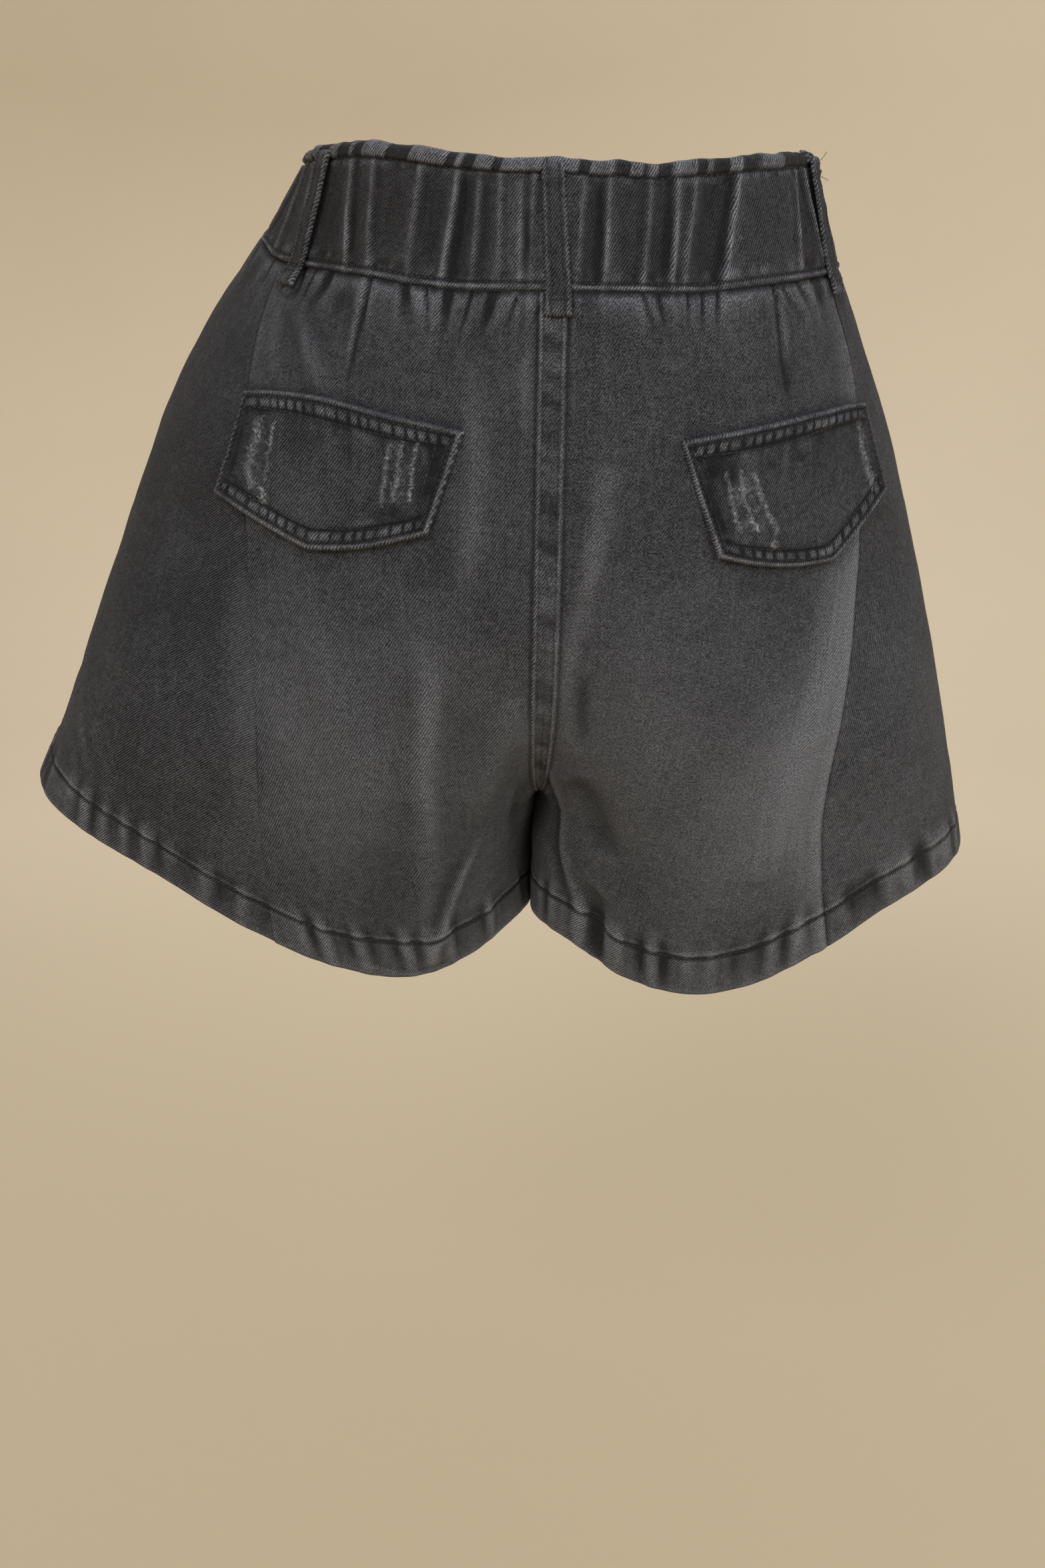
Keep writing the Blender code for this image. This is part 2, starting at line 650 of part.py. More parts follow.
def add_wall(collection, name, walls, colour, turned=False):
    """Adds one closed piece of cloth; turned ones run round the other way."""
    if turned:
        walls = [grid[:, ::-1] for grid in walls]
    rows, columns = walls[0].shape[:2]
    points = np.concatenate([grid.reshape(-1, 3) for grid in walls])
    mesh = bpy.data.meshes.new(name)
    mesh.from_pydata(points.tolist(), [], wall_faces(rows, columns))
    mesh.polygons.foreach_set("use_smooth", [True] * len(mesh.polygons))
    mesh.materials.append(material(name, colour, ROUGHNESS))
    collection.objects.link(bpy.data.objects.new(name, mesh))


def main():
    for existing in list(bpy.data.objects):
        bpy.data.objects.remove(existing)
    collection = bpy.data.collections.new(COLLECTION)
    bpy.context.scene.collection.children.link(collection)
    for half in HALVES:
        turned = half == "right"
        add_wall(collection, f"back_panel_{half}", panel_walls(half, back_columns),
                 DENIM, turned)
        add_wall(collection, f"front_panel_{half}", panel_walls(half, front_columns),
                 DENIM, turned)
        add_wall(collection, f"pocket_flap_{half}", flap_walls(half), WORN_DENIM, turned)
    for face in BAND_COLUMNS:
        add_wall(collection, f"waistband_{face}", band_walls(face), DENIM)
    for name, half, head, foot, width in LOOPS[1:]:
        sign = HALVES[half]["sign"]
        add_wall(collection, name, loop_walls(sign * head, sign * foot, width), WORN_DENIM)


main()
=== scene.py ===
"""The looks of the denim shorts: fine cloth on each solid's form, stitching, wear and light."""

import functools
import math
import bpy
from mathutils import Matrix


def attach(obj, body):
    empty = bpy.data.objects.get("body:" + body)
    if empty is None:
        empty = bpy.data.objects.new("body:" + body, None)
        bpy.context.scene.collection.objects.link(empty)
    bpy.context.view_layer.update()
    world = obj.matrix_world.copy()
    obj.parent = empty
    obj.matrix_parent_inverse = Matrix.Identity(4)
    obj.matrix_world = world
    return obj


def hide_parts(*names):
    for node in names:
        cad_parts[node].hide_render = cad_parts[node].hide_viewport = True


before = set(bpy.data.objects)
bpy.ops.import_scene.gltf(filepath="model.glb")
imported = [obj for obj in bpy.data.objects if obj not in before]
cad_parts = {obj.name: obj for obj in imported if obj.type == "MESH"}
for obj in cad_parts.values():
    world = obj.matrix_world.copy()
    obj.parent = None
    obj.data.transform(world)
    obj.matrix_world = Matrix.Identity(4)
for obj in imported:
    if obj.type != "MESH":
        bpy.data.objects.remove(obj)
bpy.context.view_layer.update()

from types import SimpleNamespace

import bpy
import numpy as np
from mathutils import Vector

# Cloth
CLOTH = 0.0018              # one layer of denim with its finish
HEM_CLOTH = 0.0034          # the hem's turned-up layers
BAND_CLOTH = 0.0026         # the waistband, two layers round its elastic
FLAP_CLOTH = 0.0020
LOOP_CLOTH = 0.0018
SEAM_GAP = 0.0003           # between two pieces at their seam
WAIST_GAP = 0.0004          # between the band and the panels
LAID_GAP = 0.0005           # under a piece that lies on another

# Main sizes
PANEL_LENGTH = 0.378        # down the centre back, from the waist seam to the hem's edge
HEM_DOWN = 0.926            # the hem is turned up to here, 28 mm above its edge
CROTCH_DOWN = 0.78          # parts of the panel's length
WAIST_FADE = 1.3            # how fast the rows level out below the waist seam
SEAT_DOWN = 0.42            # where the back seam starts to curve under
FRONT_SEAT_DOWN = 0.36
SEAM_GROOVE = 0.988         # the centre seams lie a little inside the seat's curve
LEG_GAP = (0.0012, 0.0030)  # half the space between the legs, at the crotch and at the hem
INSEAM_Y = -0.004
SEAM_X = (0.004, 0.011)     # the centre seams' place, at the waist and at the hem
EVENED = (0.50, 0.96)       # parts of the length where the crotch's turn under the body is evened
EVEN_ROWS = 41
EVEN_PART = 0.5             # of the way from a centre seam to the side, the rows ease into it

# The body's sections: how far down, depth behind and before the middle, roundness of the plan
SECTIONS = (
    ("down", "back_depth", "front_depth", "squareness"),
    (0.00, 0.106, 0.098, 2.00),
    (0.10, 0.116, 0.104, 2.00),
    (0.22, 0.125, 0.108, 2.05),
    (0.40, 0.130, 0.109, 2.15),
    (0.60, 0.125, 0.104, 2.35),
    (0.80, 0.114, 0.094, 2.45),
    (1.00, 0.104, 0.086, 2.30),
)

# Each half's sections: reach to the side, where it is widest, the side seam, the leg's depth
LEFT_HALF = (
    ("down", "reach", "widest_y", "side_seam_x", "depth_change"),
    (0.00, 0.165, -0.035, 0.147, 0.000),
    (0.10, 0.188, -0.030, 0.158, 0.000),
    (0.22, 0.211, -0.024, 0.164, 0.000),
    (0.40, 0.236, -0.018, 0.162, 0.000),
    (0.60, 0.259, -0.012, 0.160, 0.000),
    (0.78, 0.281, -0.007, 0.162, 0.000),
    (0.92, 0.298, -0.002, 0.161, -0.002),
    (1.00, 0.310, 0.000, 0.160, -0.004),
)
RIGHT_HALF = (
    ("down", "reach", "widest_y", "side_seam_x", "depth_change"),
    (0.00, 0.154, -0.010, 0.143, 0.000),
    (0.10, 0.167, -0.010, 0.152, 0.000),
    (0.22, 0.182, -0.010, 0.158, 0.000),
    (0.40, 0.201, -0.008, 0.158, 0.000),
    (0.60, 0.217, -0.005, 0.150, 0.000),
    (0.78, 0.231, -0.002, 0.144, 0.000),
    (0.92, 0.242, 0.000, 0.149, 0.003),
    (1.00, 0.248, 0.000, 0.154, 0.004),
)

# Heights of the band's top, the waist seam and the hem, from the centre back (0) round to the
# centre front (1)
LEFT_LEVELS = (
    ("around", "waist_z", "hem_z", "top_z"),
    (0.00, -0.0630, -0.440, -0.002),
    (0.05, -0.0630, -0.437, -0.002),
    (0.11, -0.0630, -0.444, -0.001),
    (0.17, -0.0615, -0.446, 0.001),
    (0.22, -0.0590, -0.434, 0.003),
    (0.28, -0.0570, -0.409, 0.004),
    (0.35, -0.0555, -0.376, 0.003),
    (0.42, -0.0530, -0.355, 0.002),
    (0.50, -0.0460, -0.345, -0.001),
    (0.60, -0.0415, -0.350, -0.003),
    (0.75, -0.0450, -0.386, -0.006),
    (0.90, -0.0520, -0.426, -0.008),
    (1.00, -0.0540, -0.440, -0.008),
)
RIGHT_LEVELS = (
    ("around", "waist_z", "hem_z", "top_z"),
    (0.00, -0.0630, -0.440, -0.002),
    (0.06, -0.0633, -0.434, -0.004),
    (0.10, -0.0637, -0.435, -0.005),
    (0.15, -0.0643, -0.446, -0.005),
    (0.20, -0.0640, -0.450, -0.004),
    (0.25, -0.0625, -0.442, -0.003),
    (0.30, -0.0615, -0.422, -0.002),
    (0.36, -0.0605, -0.396, -0.001),
    (0.42, -0.0600, -0.386, 0.000),
    (0.50, -0.0590, -0.388, -0.003),
    (0.62, -0.0570, -0.400, -0.006),
    (0.78, -0.0550, -0.426, -0.008),
    (0.90, -0.0540, -0.438, -0.008),
    (1.00, -0.0540, -0.440, -0.008),
)

# The band's top ring (reach, widest_y), and the crests of its gathers: where each lies on the
# half ring at the band's middle, how far its foot is from its head, and the depth of the trough
# after it
BAND_TOP = {"left": (0.132, 0.000), "right": (0.134, 0.000)}
BAND_TOP_DEPTHS = (0.0955, 0.0920)
LEFT_GATHERS = (
    ("around", "lean", "trough"),
    (0.000, 0.000, 0.0000),
    (0.028, 0.002, 0.0024),
    (0.040, -0.003, 0.0002),
    (0.068, -0.005, 0.0026),
    (0.098, -0.001, 0.0034),
    (0.131, 0.004, 0.0030),
    (0.181, -0.006, 0.0024),
    (0.246, -0.030, 0.0016),
    (0.284, -0.034, 0.0030),
    (0.376, -0.040, 0.0014),
    (0.430, 0.000, 0.0030),
    (0.500, 0.004, 0.0000),
)
RIGHT_GATHERS = (
    ("around", "lean", "trough"),
    (0.000, 0.000, 0.0000),
    (0.033, -0.018, 0.0034),
    (0.065, -0.017, 0.0022),
    (0.116, -0.028, 0.0034),
    (0.152, -0.025, 0.0014),
    (0.172, -0.040, 0.0044),
    (0.232, -0.055, 0.0010),
    (0.351, -0.045, 0.0024),
    (0.392, 0.006, 0.0028),
    (0.430, 0.004, 0.0012),
    (0.500, 0.000, 0.0000),
)
SEWN_PART = 0.42            # how deep the gathers stay where they are sewn down
HOLLOW_ROUNDING = 0.8       # under 1 the troughs are wide and the crests sharp
FREE_ROUNDING = 0.6         # under 1 the gathers deepen fast away from the stitching
FRILL_PART = 0.11           # of the band's height, above its upper stitching
GATHER_PART = 0.9           # of the gathers' depth goes on into the panels
GATHER_REACH = 0.030

# The darts of the back panels: from the centre back at the seam and at the point, and length
DARTS = {"left": (0.097, 0.107, 0.057), "right": (0.118, 0.128, 0.064)}
DART_DEPTH = 0.0012
FELL_WIDTH = 0.0062         # half the centre seam's felled band
FELL_HEIGHT = 0.0008

SEAM_EASE = 0.018           # folds fade out this near to the centre seam and the inseam

# The large folds. Columns: from_side_1, down_1, from_side_2, down_2 (from one point to another,
# in metres from the side seam and from the waist seam), half_width, height (- is a trough)
FOLD_TAPER = 0.5
FOLDS = {
    "back_panel_left": (
        (0.096, 0.165, 0.090, 0.245, 0.009, 0.0030),
        (0.086, 0.240, 0.093, 0.372, 0.009, 0.0040),
        (0.077, 0.255, 0.059, 0.372, 0.018, -0.0030),
        (0.137, 0.200, 0.123, 0.285, 0.009, 0.0030),
        (0.145, 0.232, 0.167, 0.318, 0.008, -0.0030),
        (0.112, 0.180, 0.114, 0.262, 0.010, -0.0020),
        (0.022, 0.015, 0.063, 0.062, 0.007, 0.0020),
        (0.024, 0.130, 0.070, 0.300, 0.014, 0.0030),
    ),
    "back_panel_right": (
        (0.157, 0.080, 0.158, 0.150, 0.008, 0.0026),
        (0.147, 0.190, 0.137, 0.236, 0.005, -0.0018),
        (0.143, 0.262, 0.123, 0.306, 0.012, -0.0045),
        (0.095, 0.200, 0.117, 0.300, 0.020, 0.0020),
        (0.131, 0.330, 0.137, 0.378, 0.009, -0.0055),
        (0.016, 0.140, 0.013, 0.235, 0.013, 0.0040),
        (0.013, 0.225, 0.037, 0.310, 0.014, 0.0040),
    ),
    "front_panel_left": (
        (0.209, 0.000, 0.400, 0.200, 0.015, 0.0035),
        (0.149, 0.000, 0.358, 0.260, 0.020, 0.0045),
        (0.190, 0.010, 0.372, 0.220, 0.014, -0.0035),
        (0.092, 0.010, 0.324, 0.300, 0.022, 0.0035),
        (0.432, 0.190, 0.452, 0.290, 0.015, 0.0024),
        (0.465, 0.225, 0.468, 0.330, 0.014, -0.0020),
    ),
    "front_panel_right": (
        (0.192, 0.000, 0.327, 0.180, 0.014, 0.0030),
        (0.127, 0.000, 0.297, 0.240, 0.018, 0.0035),
        (0.166, 0.010, 0.314, 0.210, 0.014, -0.0030),
        (0.373, 0.185, 0.390, 0.280, 0.015, 0.0024),
        (0.404, 0.220, 0.413, 0.320, 0.014, -0.0020),
    ),
}

# The flaps' corners on the back panels: name, from the centre back, down from the waist seam
FLAPS = {
    "left": (
        ("inner_top", 0.043, 0.065),
        ("middle_top", 0.111, 0.058),
        ("outer_top", 0.171, 0.069),
        ("inner_bottom", 0.060, 0.113),
        ("point", 0.123, 0.129),
        ("outer_bottom", 0.182, 0.124),
    ),
    "right": (
        ("inner_top", 0.065, 0.069),
        ("middle_top", 0.117, 0.064),
        ("outer_top", 0.190, 0.073),
        ("inner_bottom", 0.085, 0.123),
        ("point", 0.152, 0.139),
        ("outer_bottom", 0.198, 0.122),
    ),
}
FLAP_LIFT = 0.0030          # the flap's free edge stands off the panel

# Belt loops: the half, where the head and the foot are on the half ring, and width
LOOPS = (
    ("name", "half", "head_around", "foot_around", "width"),
    ("belt_loop_back", "left", 0.002, -0.006, 0.0120),
    ("belt_loop_left", "left", 0.362, 0.352, 0.0120),
    ("belt_loop_right", "right", 0.430, 0.405, 0.0120),
    ("belt_loop_front_left", "left", 0.800, 0.800, 0.0120),
    ("belt_loop_front_right", "right", 0.800, 0.800, 0.0120),
)
LOOP_FOOT_DOWN = 0.011      # below the waist seam

HALVES = {
    "left": {"sign": 1.0, "sections": LEFT_HALF, "levels": LEFT_LEVELS, "gathers": LEFT_GATHERS},
    "right": {"sign": -1.0, "sections": RIGHT_HALF, "levels": RIGHT_LEVELS, "gathers": RIGHT_GATHERS},
}
OTHER = {"left": "right", "right": "left"}

NEARBY = 0.004              # of a ring's or a panel's length, to measure its slope

# Fine cloth
CUT_GAP = 0.00006           # between two pieces of fine cloth at a seam
HEM_STITCH = 0.024          # above the hem's edge
TWILL_PITCH = 0.00125
TWILL_ANGLE = 56.0          # of the twill's lines over the weft, in degrees
INSIDE_MASK = 0.4           # how much of the outside's wear and shade the inside has
PLAN_POINTS = 240           # of a section, before and behind its widest place
FLAT_COLUMNS = {"back": 24, "front": 40}
FLAT_ROWS = 40
FLAT_TURNS = 500            # in which a flat cut's lengths settle
FLAT_PACE = 1.5
FAR_OFF = 9.0               # further than anything on the garment

# Stitches and threads
STITCH_STEP = 0.0034
STITCH_LENGTH = 0.0027
STITCH_RADIUS = 0.00032
STITCH_FLATNESS = 0.8
STITCH_RISE = 0.00022       # of its middle over the cloth
STITCH_SINK = 0.00030       # of its ends below its middle
STITCH_RINGS, STITCH_SIDES = 6, 6
CENTRE_STITCHES = {"back": 0.0042, "front": 0.0022}     # from the centre seam
FLAP_STITCHES = (0.0030, 0.0093)                        # from the flap's edge
FLAP_LINE_POINTS = (60, 30)                             # on each long and each short side
THREAD_SPACING = 0.0018     # of frayed threads along a streak
TUBE_SIDES = 5
TUBE_END = 0.35             # of the thread's width
TUBE_SIDE = (0.31, 0.2, 0.93)   # a direction that no thread runs in

# Random waves repeat after so many and start at an odd place
WAVES, WAVE_START = 997, 101.3
RUMPLE_WAVES, RUMPLE_START = 89, (31.7, 17.3)


def smooth(table, name, places):
    """Reads a table's named column at these places of its first column, on a smooth curve."""
    rows = np.array(table[1:])
    x, y = rows[:, 0], rows[:, table[0].index(name)]
    steps = np.diff(x)
    slopes = np.diff(y) / steps
    tangents = np.empty_like(y)
    tangents[1:-1] = (slopes[:-1] * steps[1:] + slopes[1:] * steps[:-1]) / (steps[1:] + steps[:-1])
    tangents[0], tangents[-1] = slopes[0], slopes[-1]
    at = np.clip(np.asarray(places, float), x[0], x[-1])
    i = np.clip(np.searchsorted(x, at, side="right") - 1, 0, len(x) - 2)
    t = (at - x[i]) / steps[i]
    start = y[i] * (1 + 2 * t) * (1 - t) ** 2 + tangents[i] * steps[i] * t * (1 - t) ** 2
    end = y[i + 1] * (3 - 2 * t) * t**2 - tangents[i + 1] * steps[i] * (1 - t) * t**2
    return start + end


def columns_at(table, place):
    """All of a table's columns but the first, at one place of the first."""
    return [float(smooth(table, name, place)) for name in table[0][1:]]


def eased(t):
    """Parts from 0 to 1 with a soft start and end."""
    return t * t * (3 - 2 * t)


def spaced(start, *spans):
    """Places from start on, evenly over each span. A span is its end and its number of places."""
    places = [[start]]
    for end, count in spans:
        places.append(np.linspace(start, end, count)[1:])
        start = end
    return np.concatenate(places)


def centre_x(down):
    return SEAM_X[0] + (SEAM_X[1] - SEAM_X[0]) * down


def leg_gap(down):
    """Half the space between the legs, which opens below the crotch."""
    below = np.clip((down - CROTCH_DOWN) / (1 - CROTCH_DOWN), 0, 1)
    return LEG_GAP[0] + (LEG_GAP[1] - LEG_GAP[0]) * below


def rise_ratio(down, seat):
    """How deep the centre seam still lies, as a part of the section's depth."""
    below = np.clip((down - seat) / (CROTCH_DOWN - seat), 0.0, 1.0)
    return SEAM_GROOVE * math.sqrt(1.0 - below**2)


def plan(half, down, reach, widest_y, depths, square, ratios, inner):
    """A half ring in plan, from the centre back round the side to the centre front, with how far
    along it each point is."""
    sign, middle = HALVES[half]["sign"], centre_x(down)
    reach -= sign * middle
    arcs = []
    for depth, ratio in zip(depths, ratios):
        cut = (1 - ratio**square) ** (1 / square)
        radius = (reach - inner) / (1 + cut)
        last = math.acos(-(cut ** (square / 2)))
        turn = np.linspace(0, last, PLAN_POINTS)
        wave = np.cos(turn)
        out = reach - radius + radius * np.sign(wave) * np.abs(wave) ** (2 / square)
        arcs.append((out, depth * np.abs(np.sin(turn)) ** (2 / square)))
    (back_out, back_deep), (front_out, front_deep) = arcs
    out = np.concatenate([back_out[::-1], front_out[1:]])
    deep = np.concatenate([back_deep[::-1], -front_deep[1:]])
    x, y = middle + sign * out, INSEAM_Y + (widest_y - INSEAM_Y) * out / reach + deep
    return x, y, np.concatenate([[0.0], np.cumsum(np.hypot(np.diff(x), np.diff(y)))])


@functools.cache
def half_plan(half, down):
    """The panels' half ring at one distance down."""
    reach, widest_y, _, change = columns_at(HALVES[half]["sections"], down)
    back, front, square = columns_at(SECTIONS, down)
    inner = leg_gap(down) if down > CROTCH_DOWN else SEAM_GAP / 2
    depths = (back + change - INSEAM_Y, front + change + INSEAM_Y)
    ratios = (rise_ratio(down, SEAT_DOWN), rise_ratio(down, FRONT_SEAT_DOWN))
    return plan(half, down, reach, widest_y, depths, square, ratios, inner)


@functools.cache
def band_top_plan(half):
    reach, widest_y = BAND_TOP[half]
    depths = (BAND_TOP_DEPTHS[0] - INSEAM_Y, BAND_TOP_DEPTHS[1] + INSEAM_Y)
    return plan(half, 0, reach, widest_y, depths, 2.0, (1.0, 1.0), 0.0)


def ring_length(half, down):
    return half_plan(half, down)[2][-1]


@functools.cache
def side_seam_around(half, down):
    """The side seam's place on the half ring, from 0 at the centre back to 1 at the front."""
    x, _, lengths = half_plan(half, down)
    seam_x = float(smooth(HALVES[half]["sections"], "side_seam_x", down))
    widest = int(np.argmax(np.abs(x)))
    place = np.interp(seam_x, np.abs(x[: widest + 1]), lengths[: widest + 1])
    return float(place / lengths[-1])


@functools.cache
def even_lengths(half):
    """Lengths from the side seam to the centre back and front, evened out round the crotch."""
    downs = np.linspace(0, 1, EVEN_ROWS)
    seams = np.array([side_seam_around(half, down) for down in downs])
    lengths = np.array([ring_length(half, down) for down in downs])
    kept = (downs <= EVENED[0]) | (downs >= EVENED[1])
    back = np.interp(downs, downs[kept], (lengths * seams)[kept])
    front = np.interp(downs, downs[kept], (lengths * (1 - seams))[kept])
    return downs, back, front


def even_around(half, down, around):
    """Where points would lie on the half ring if the crotch didn't turn under the body."""
    downs, back, front = even_lengths(half)
    back, front = np.interp(down, downs, back), np.interp(down, downs, front)
    length, seam = ring_length(half, down), side_seam_around(half, down)
    on_back = np.asarray(around) < seam
    part = np.where(on_back, around / seam, (1 - around) / (1 - seam))
    ratio = np.where(on_back, seam * length / back, (1 - seam) * length / front)
    share = eased(np.clip(part / EVEN_PART, 0, 1))
    part = part + share * (1 - part) * (1 - ratio)
    even_seam = back / (back + front)
    return np.where(on_back, part * even_seam, 1 - part * (1 - even_seam))


def level(half, down, around):
    """The height of the panels' points."""
    table = HALVES[half]["levels"]
    even = even_around(half, down, around)
    waist, hem = smooth(table, "waist_z", even), smooth(table, "hem_z", even)
    waist_back = smooth(table, "waist_z", 0)
    kept = max(0.0, 1.0 - down / CROTCH_DOWN) ** WAIST_FADE
    return waist_back + kept * (waist - waist_back) + down * (hem - waist_back)


def on_plan(half_ring, around, heights):
    """Points on a half ring in plan, at these heights."""
    x, y, lengths = half_ring
    at = np.asarray(around) * lengths[-1]
    return np.stack([np.interp(at, lengths, x), np.interp(at, lengths, y), heights], axis=-1)


def panel_base(half, down, around):
    """The panels' smooth outside, before folds."""
    return on_plan(half_plan(half, down), around, level(half, down, around))


def band_base(half, height, around):
    """The band's smooth outside over its crests; height goes from 0 at the top to 1."""
    top = on_plan(band_top_plan(half), around, smooth(HALVES[half]["levels"], "top_z", around))
    foot = panel_base(half, 0.0, around)
    foot[:, 2] += WAIST_GAP / 2
    return top + (foot - top) * height


def outward(base, half, along, around):
    """Unit directions out of a smooth surface, from points a little to each side."""
    ahead = base(half, along, np.clip(around + NEARBY, 0, 1))
    behind = base(half, along, np.clip(around - NEARBY, 0, 1))
    above = base(half, max(along - NEARBY, 0), around)
    below = base(half, min(along + NEARBY, 1), around)
    normals = np.cross(ahead - behind, below - above) * HALVES[half]["sign"]
    return normals / np.linalg.norm(normals, axis=-1, keepdims=True)


@functools.cache
def gather_rows(half):
    """The half's crests from the back to the front. In front they mirror the other half's."""
    back = HALVES[half]["gathers"][1:]
    front = HALVES[OTHER[half]]["gathers"][:0:-1]
    rows = list(back[:-1])
    for row, following in zip(front, front[1:]):
        rows.append((1 - row[0], -row[1], following[2]))
    rows.append((1.0, 0.0, 0.0))
    return np.array(rows)


def gather_depth(half, height, around):
    """How far the band's cloth lies inside its crests."""
    rows = gather_rows(half)
    places = rows[:, 0] + rows[:, 1] * (height - 0.5)
    i = np.clip(np.searchsorted(places, around, side="right") - 1, 0, len(places) - 2)
    t = (around - places[i]) / (places[i + 1] - places[i])
    hollow = np.sin(math.pi * np.clip(t, 0, 1)) ** HOLLOW_ROUNDING
    below_frill = min(max((height - FRILL_PART) / (1 - FRILL_PART), 0), 1)
    free = math.sin(math.pi * below_frill) ** FREE_ROUNDING
    return rows[i, 2] * hollow * (SEWN_PART + (1 - SEWN_PART) * free)


def fold_lift(rows, from_side, down):
    """The sum of the soft ridges and troughs at these places on a panel."""
    lift = np.zeros_like(from_side)
    for side_1, down_1, side_2, down_2, half_width, height in rows:
        run = np.array([side_2 - side_1, down_2 - down_1])
        t = ((from_side - side_1) * run[0] + (down - down_1) * run[1]) / (run @ run)
        t = np.clip(t, 0, 1)
        off = np.hypot(from_side - side_1 - t * run[0], down - down_1 - t * run[1])
        lift += height * np.exp(-((off / half_width) ** 2)) * (4 * t * (1 - t)) ** FOLD_TAPER
    return lift


def panel_form(half, down, around, past_seam, length):
    """How far folds and gathers lift the panels off their smooth form."""
    down_m = down * PANEL_LENGTH
    lift = fold_lift(FOLDS["back_panel_" + half], -past_seam, down_m)
    lift += fold_lift(FOLDS["front_panel_" + half], past_seam, down_m)
    lift *= np.clip(np.minimum(around, 1 - around) * length / SEAM_EASE, 0, 1)
    fade = np.exp(-down_m / GATHER_REACH)
    return lift - GATHER_PART * fade * gather_depth(half, 1.0, around)


def turned_flat(directions, axis):
    """The same directions without their part along one axis, for edges that meet at a seam."""
    flat = directions.copy()
    flat[:, axis] = 0
    return flat / np.linalg.norm(flat, axis=-1, keepdims=True)


def on_ring(make, along, places):
    """A half ring's values all round: places go from -1 on the right half to 1 on the left."""
    left = make("left", along, np.clip(places, 0, 1))
    right = make("right", along, np.clip(-places, 0, 1))
    share = (np.sign(places) + 1) / 2
    share = share.reshape(share.shape + (1,) * (left.ndim - 1))
    return left * share + right * (1 - share)


def band_directions(half, height, around):
    directions = outward(band_base, half, height, around)
    return turned_flat(directions, 2) if height >= 1 else directions


def unit(vectors):
    return vectors / np.maximum(np.linalg.norm(vectors, axis=-1, keepdims=True), 1e-12)


def lengths_along(points):
    return np.concatenate([[0], np.cumsum(np.linalg.norm(np.diff(points, axis=0), axis=1))])


def wobble(x, spacing, seed):
    """Smooth uneven waves from -1 to 1 along one direction."""
    values = np.random.default_rng(seed).uniform(-1, 1, WAVES)
    at = np.asarray(x) / spacing + WAVE_START
    i = np.floor(at).astype(int)
    t = eased(at - i)
    return values[i % WAVES] * (1 - t) + values[(i + 1) % WAVES] * t


def rumple(x, y, spacing, seed):
    """Smooth uneven waves from -1 to 1 over a surface."""
    n = RUMPLE_WAVES
    values = np.random.default_rng(seed).uniform(-1, 1, (n, n))
    ax, ay = np.asarray(x) / spacing + RUMPLE_START[0], np.asarray(y) / spacing + RUMPLE_START[1]
    i, j = np.floor(ax).astype(int), np.floor(ay).astype(int)
    s, t = eased(ax - i), eased(ay - j)
    low = values[i % n, j % n] * (1 - s) + values[(i + 1) % n, j % n] * s
    high = values[i % n, (j + 1) % n] * (1 - s) + values[(i + 1) % n, (j + 1) % n] * s
    return low * (1 - t) + high * t


def bump(x, middle, half_width):
    """A soft hill of height 1 round a middle."""
    return np.exp(-(((x - middle) / half_width) ** 2))


def step_up(x, at, width):
    """From 0 to 1 over a width round a place."""
    return eased(np.clip((x - at) / width + 0.5, 0, 1))


def hills(x):
    """What stands up, up to 1."""
    return np.clip(x, 0, 1)


def pits(x):
    """What lies low, up to 1."""
    return np.clip(-x, 0, 1)


def soft_lines(table, kind, distances, patterns):
    """The sum of a table's lines of one kind, each varied along its run by its pattern."""
    total = 0.0
    for row_kind, start, at, half_width, amount, pattern in table:
        if row_kind == kind:
            varied = 1.0 if pattern == "even" else patterns[pattern]
            total = total + amount * bump(distances[start], at, half_width) * varied
    return total


def blurred(grid, times):
    for _ in range(times):
        wide = np.pad(grid, 1, mode="edge")
        grid = (wide[:-2, 1:-1] + wide[2:, 1:-1] + wide[1:-1, :-2] + wide[1:-1, 2:]
                + 2 * wide[1:-1, 1:-1]) / 6
    return grid


def stroke(x, y, points, width, taper=0.35):
    """A soft mask along a line of points, 1 on the line and fading out at its ends."""
    best, place = np.full(np.shape(x), FAR_OFF), np.zeros(np.shape(x))
    spans = [math.dist(a, b) for a, b in zip(points, points[1:])]
    gone = 0.0
    for (x1, y1), (x2, y2), span in zip(points, points[1:], spans):
        dx, dy = x2 - x1, y2 - y1
        t = np.clip(((x - x1) * dx + (y - y1) * dy) / (dx * dx + dy * dy), 0, 1)
        off = np.hypot(x - x1 - t * dx, y - y1 - t * dy)
        place = np.where(off < best, gone + t * span, place)
        best = np.minimum(best, off)
        gone += span
    along = place / gone
    return bump(best, 0, width) * eased(np.clip(np.minimum(along, 1 - along) / taper, 0, 1))


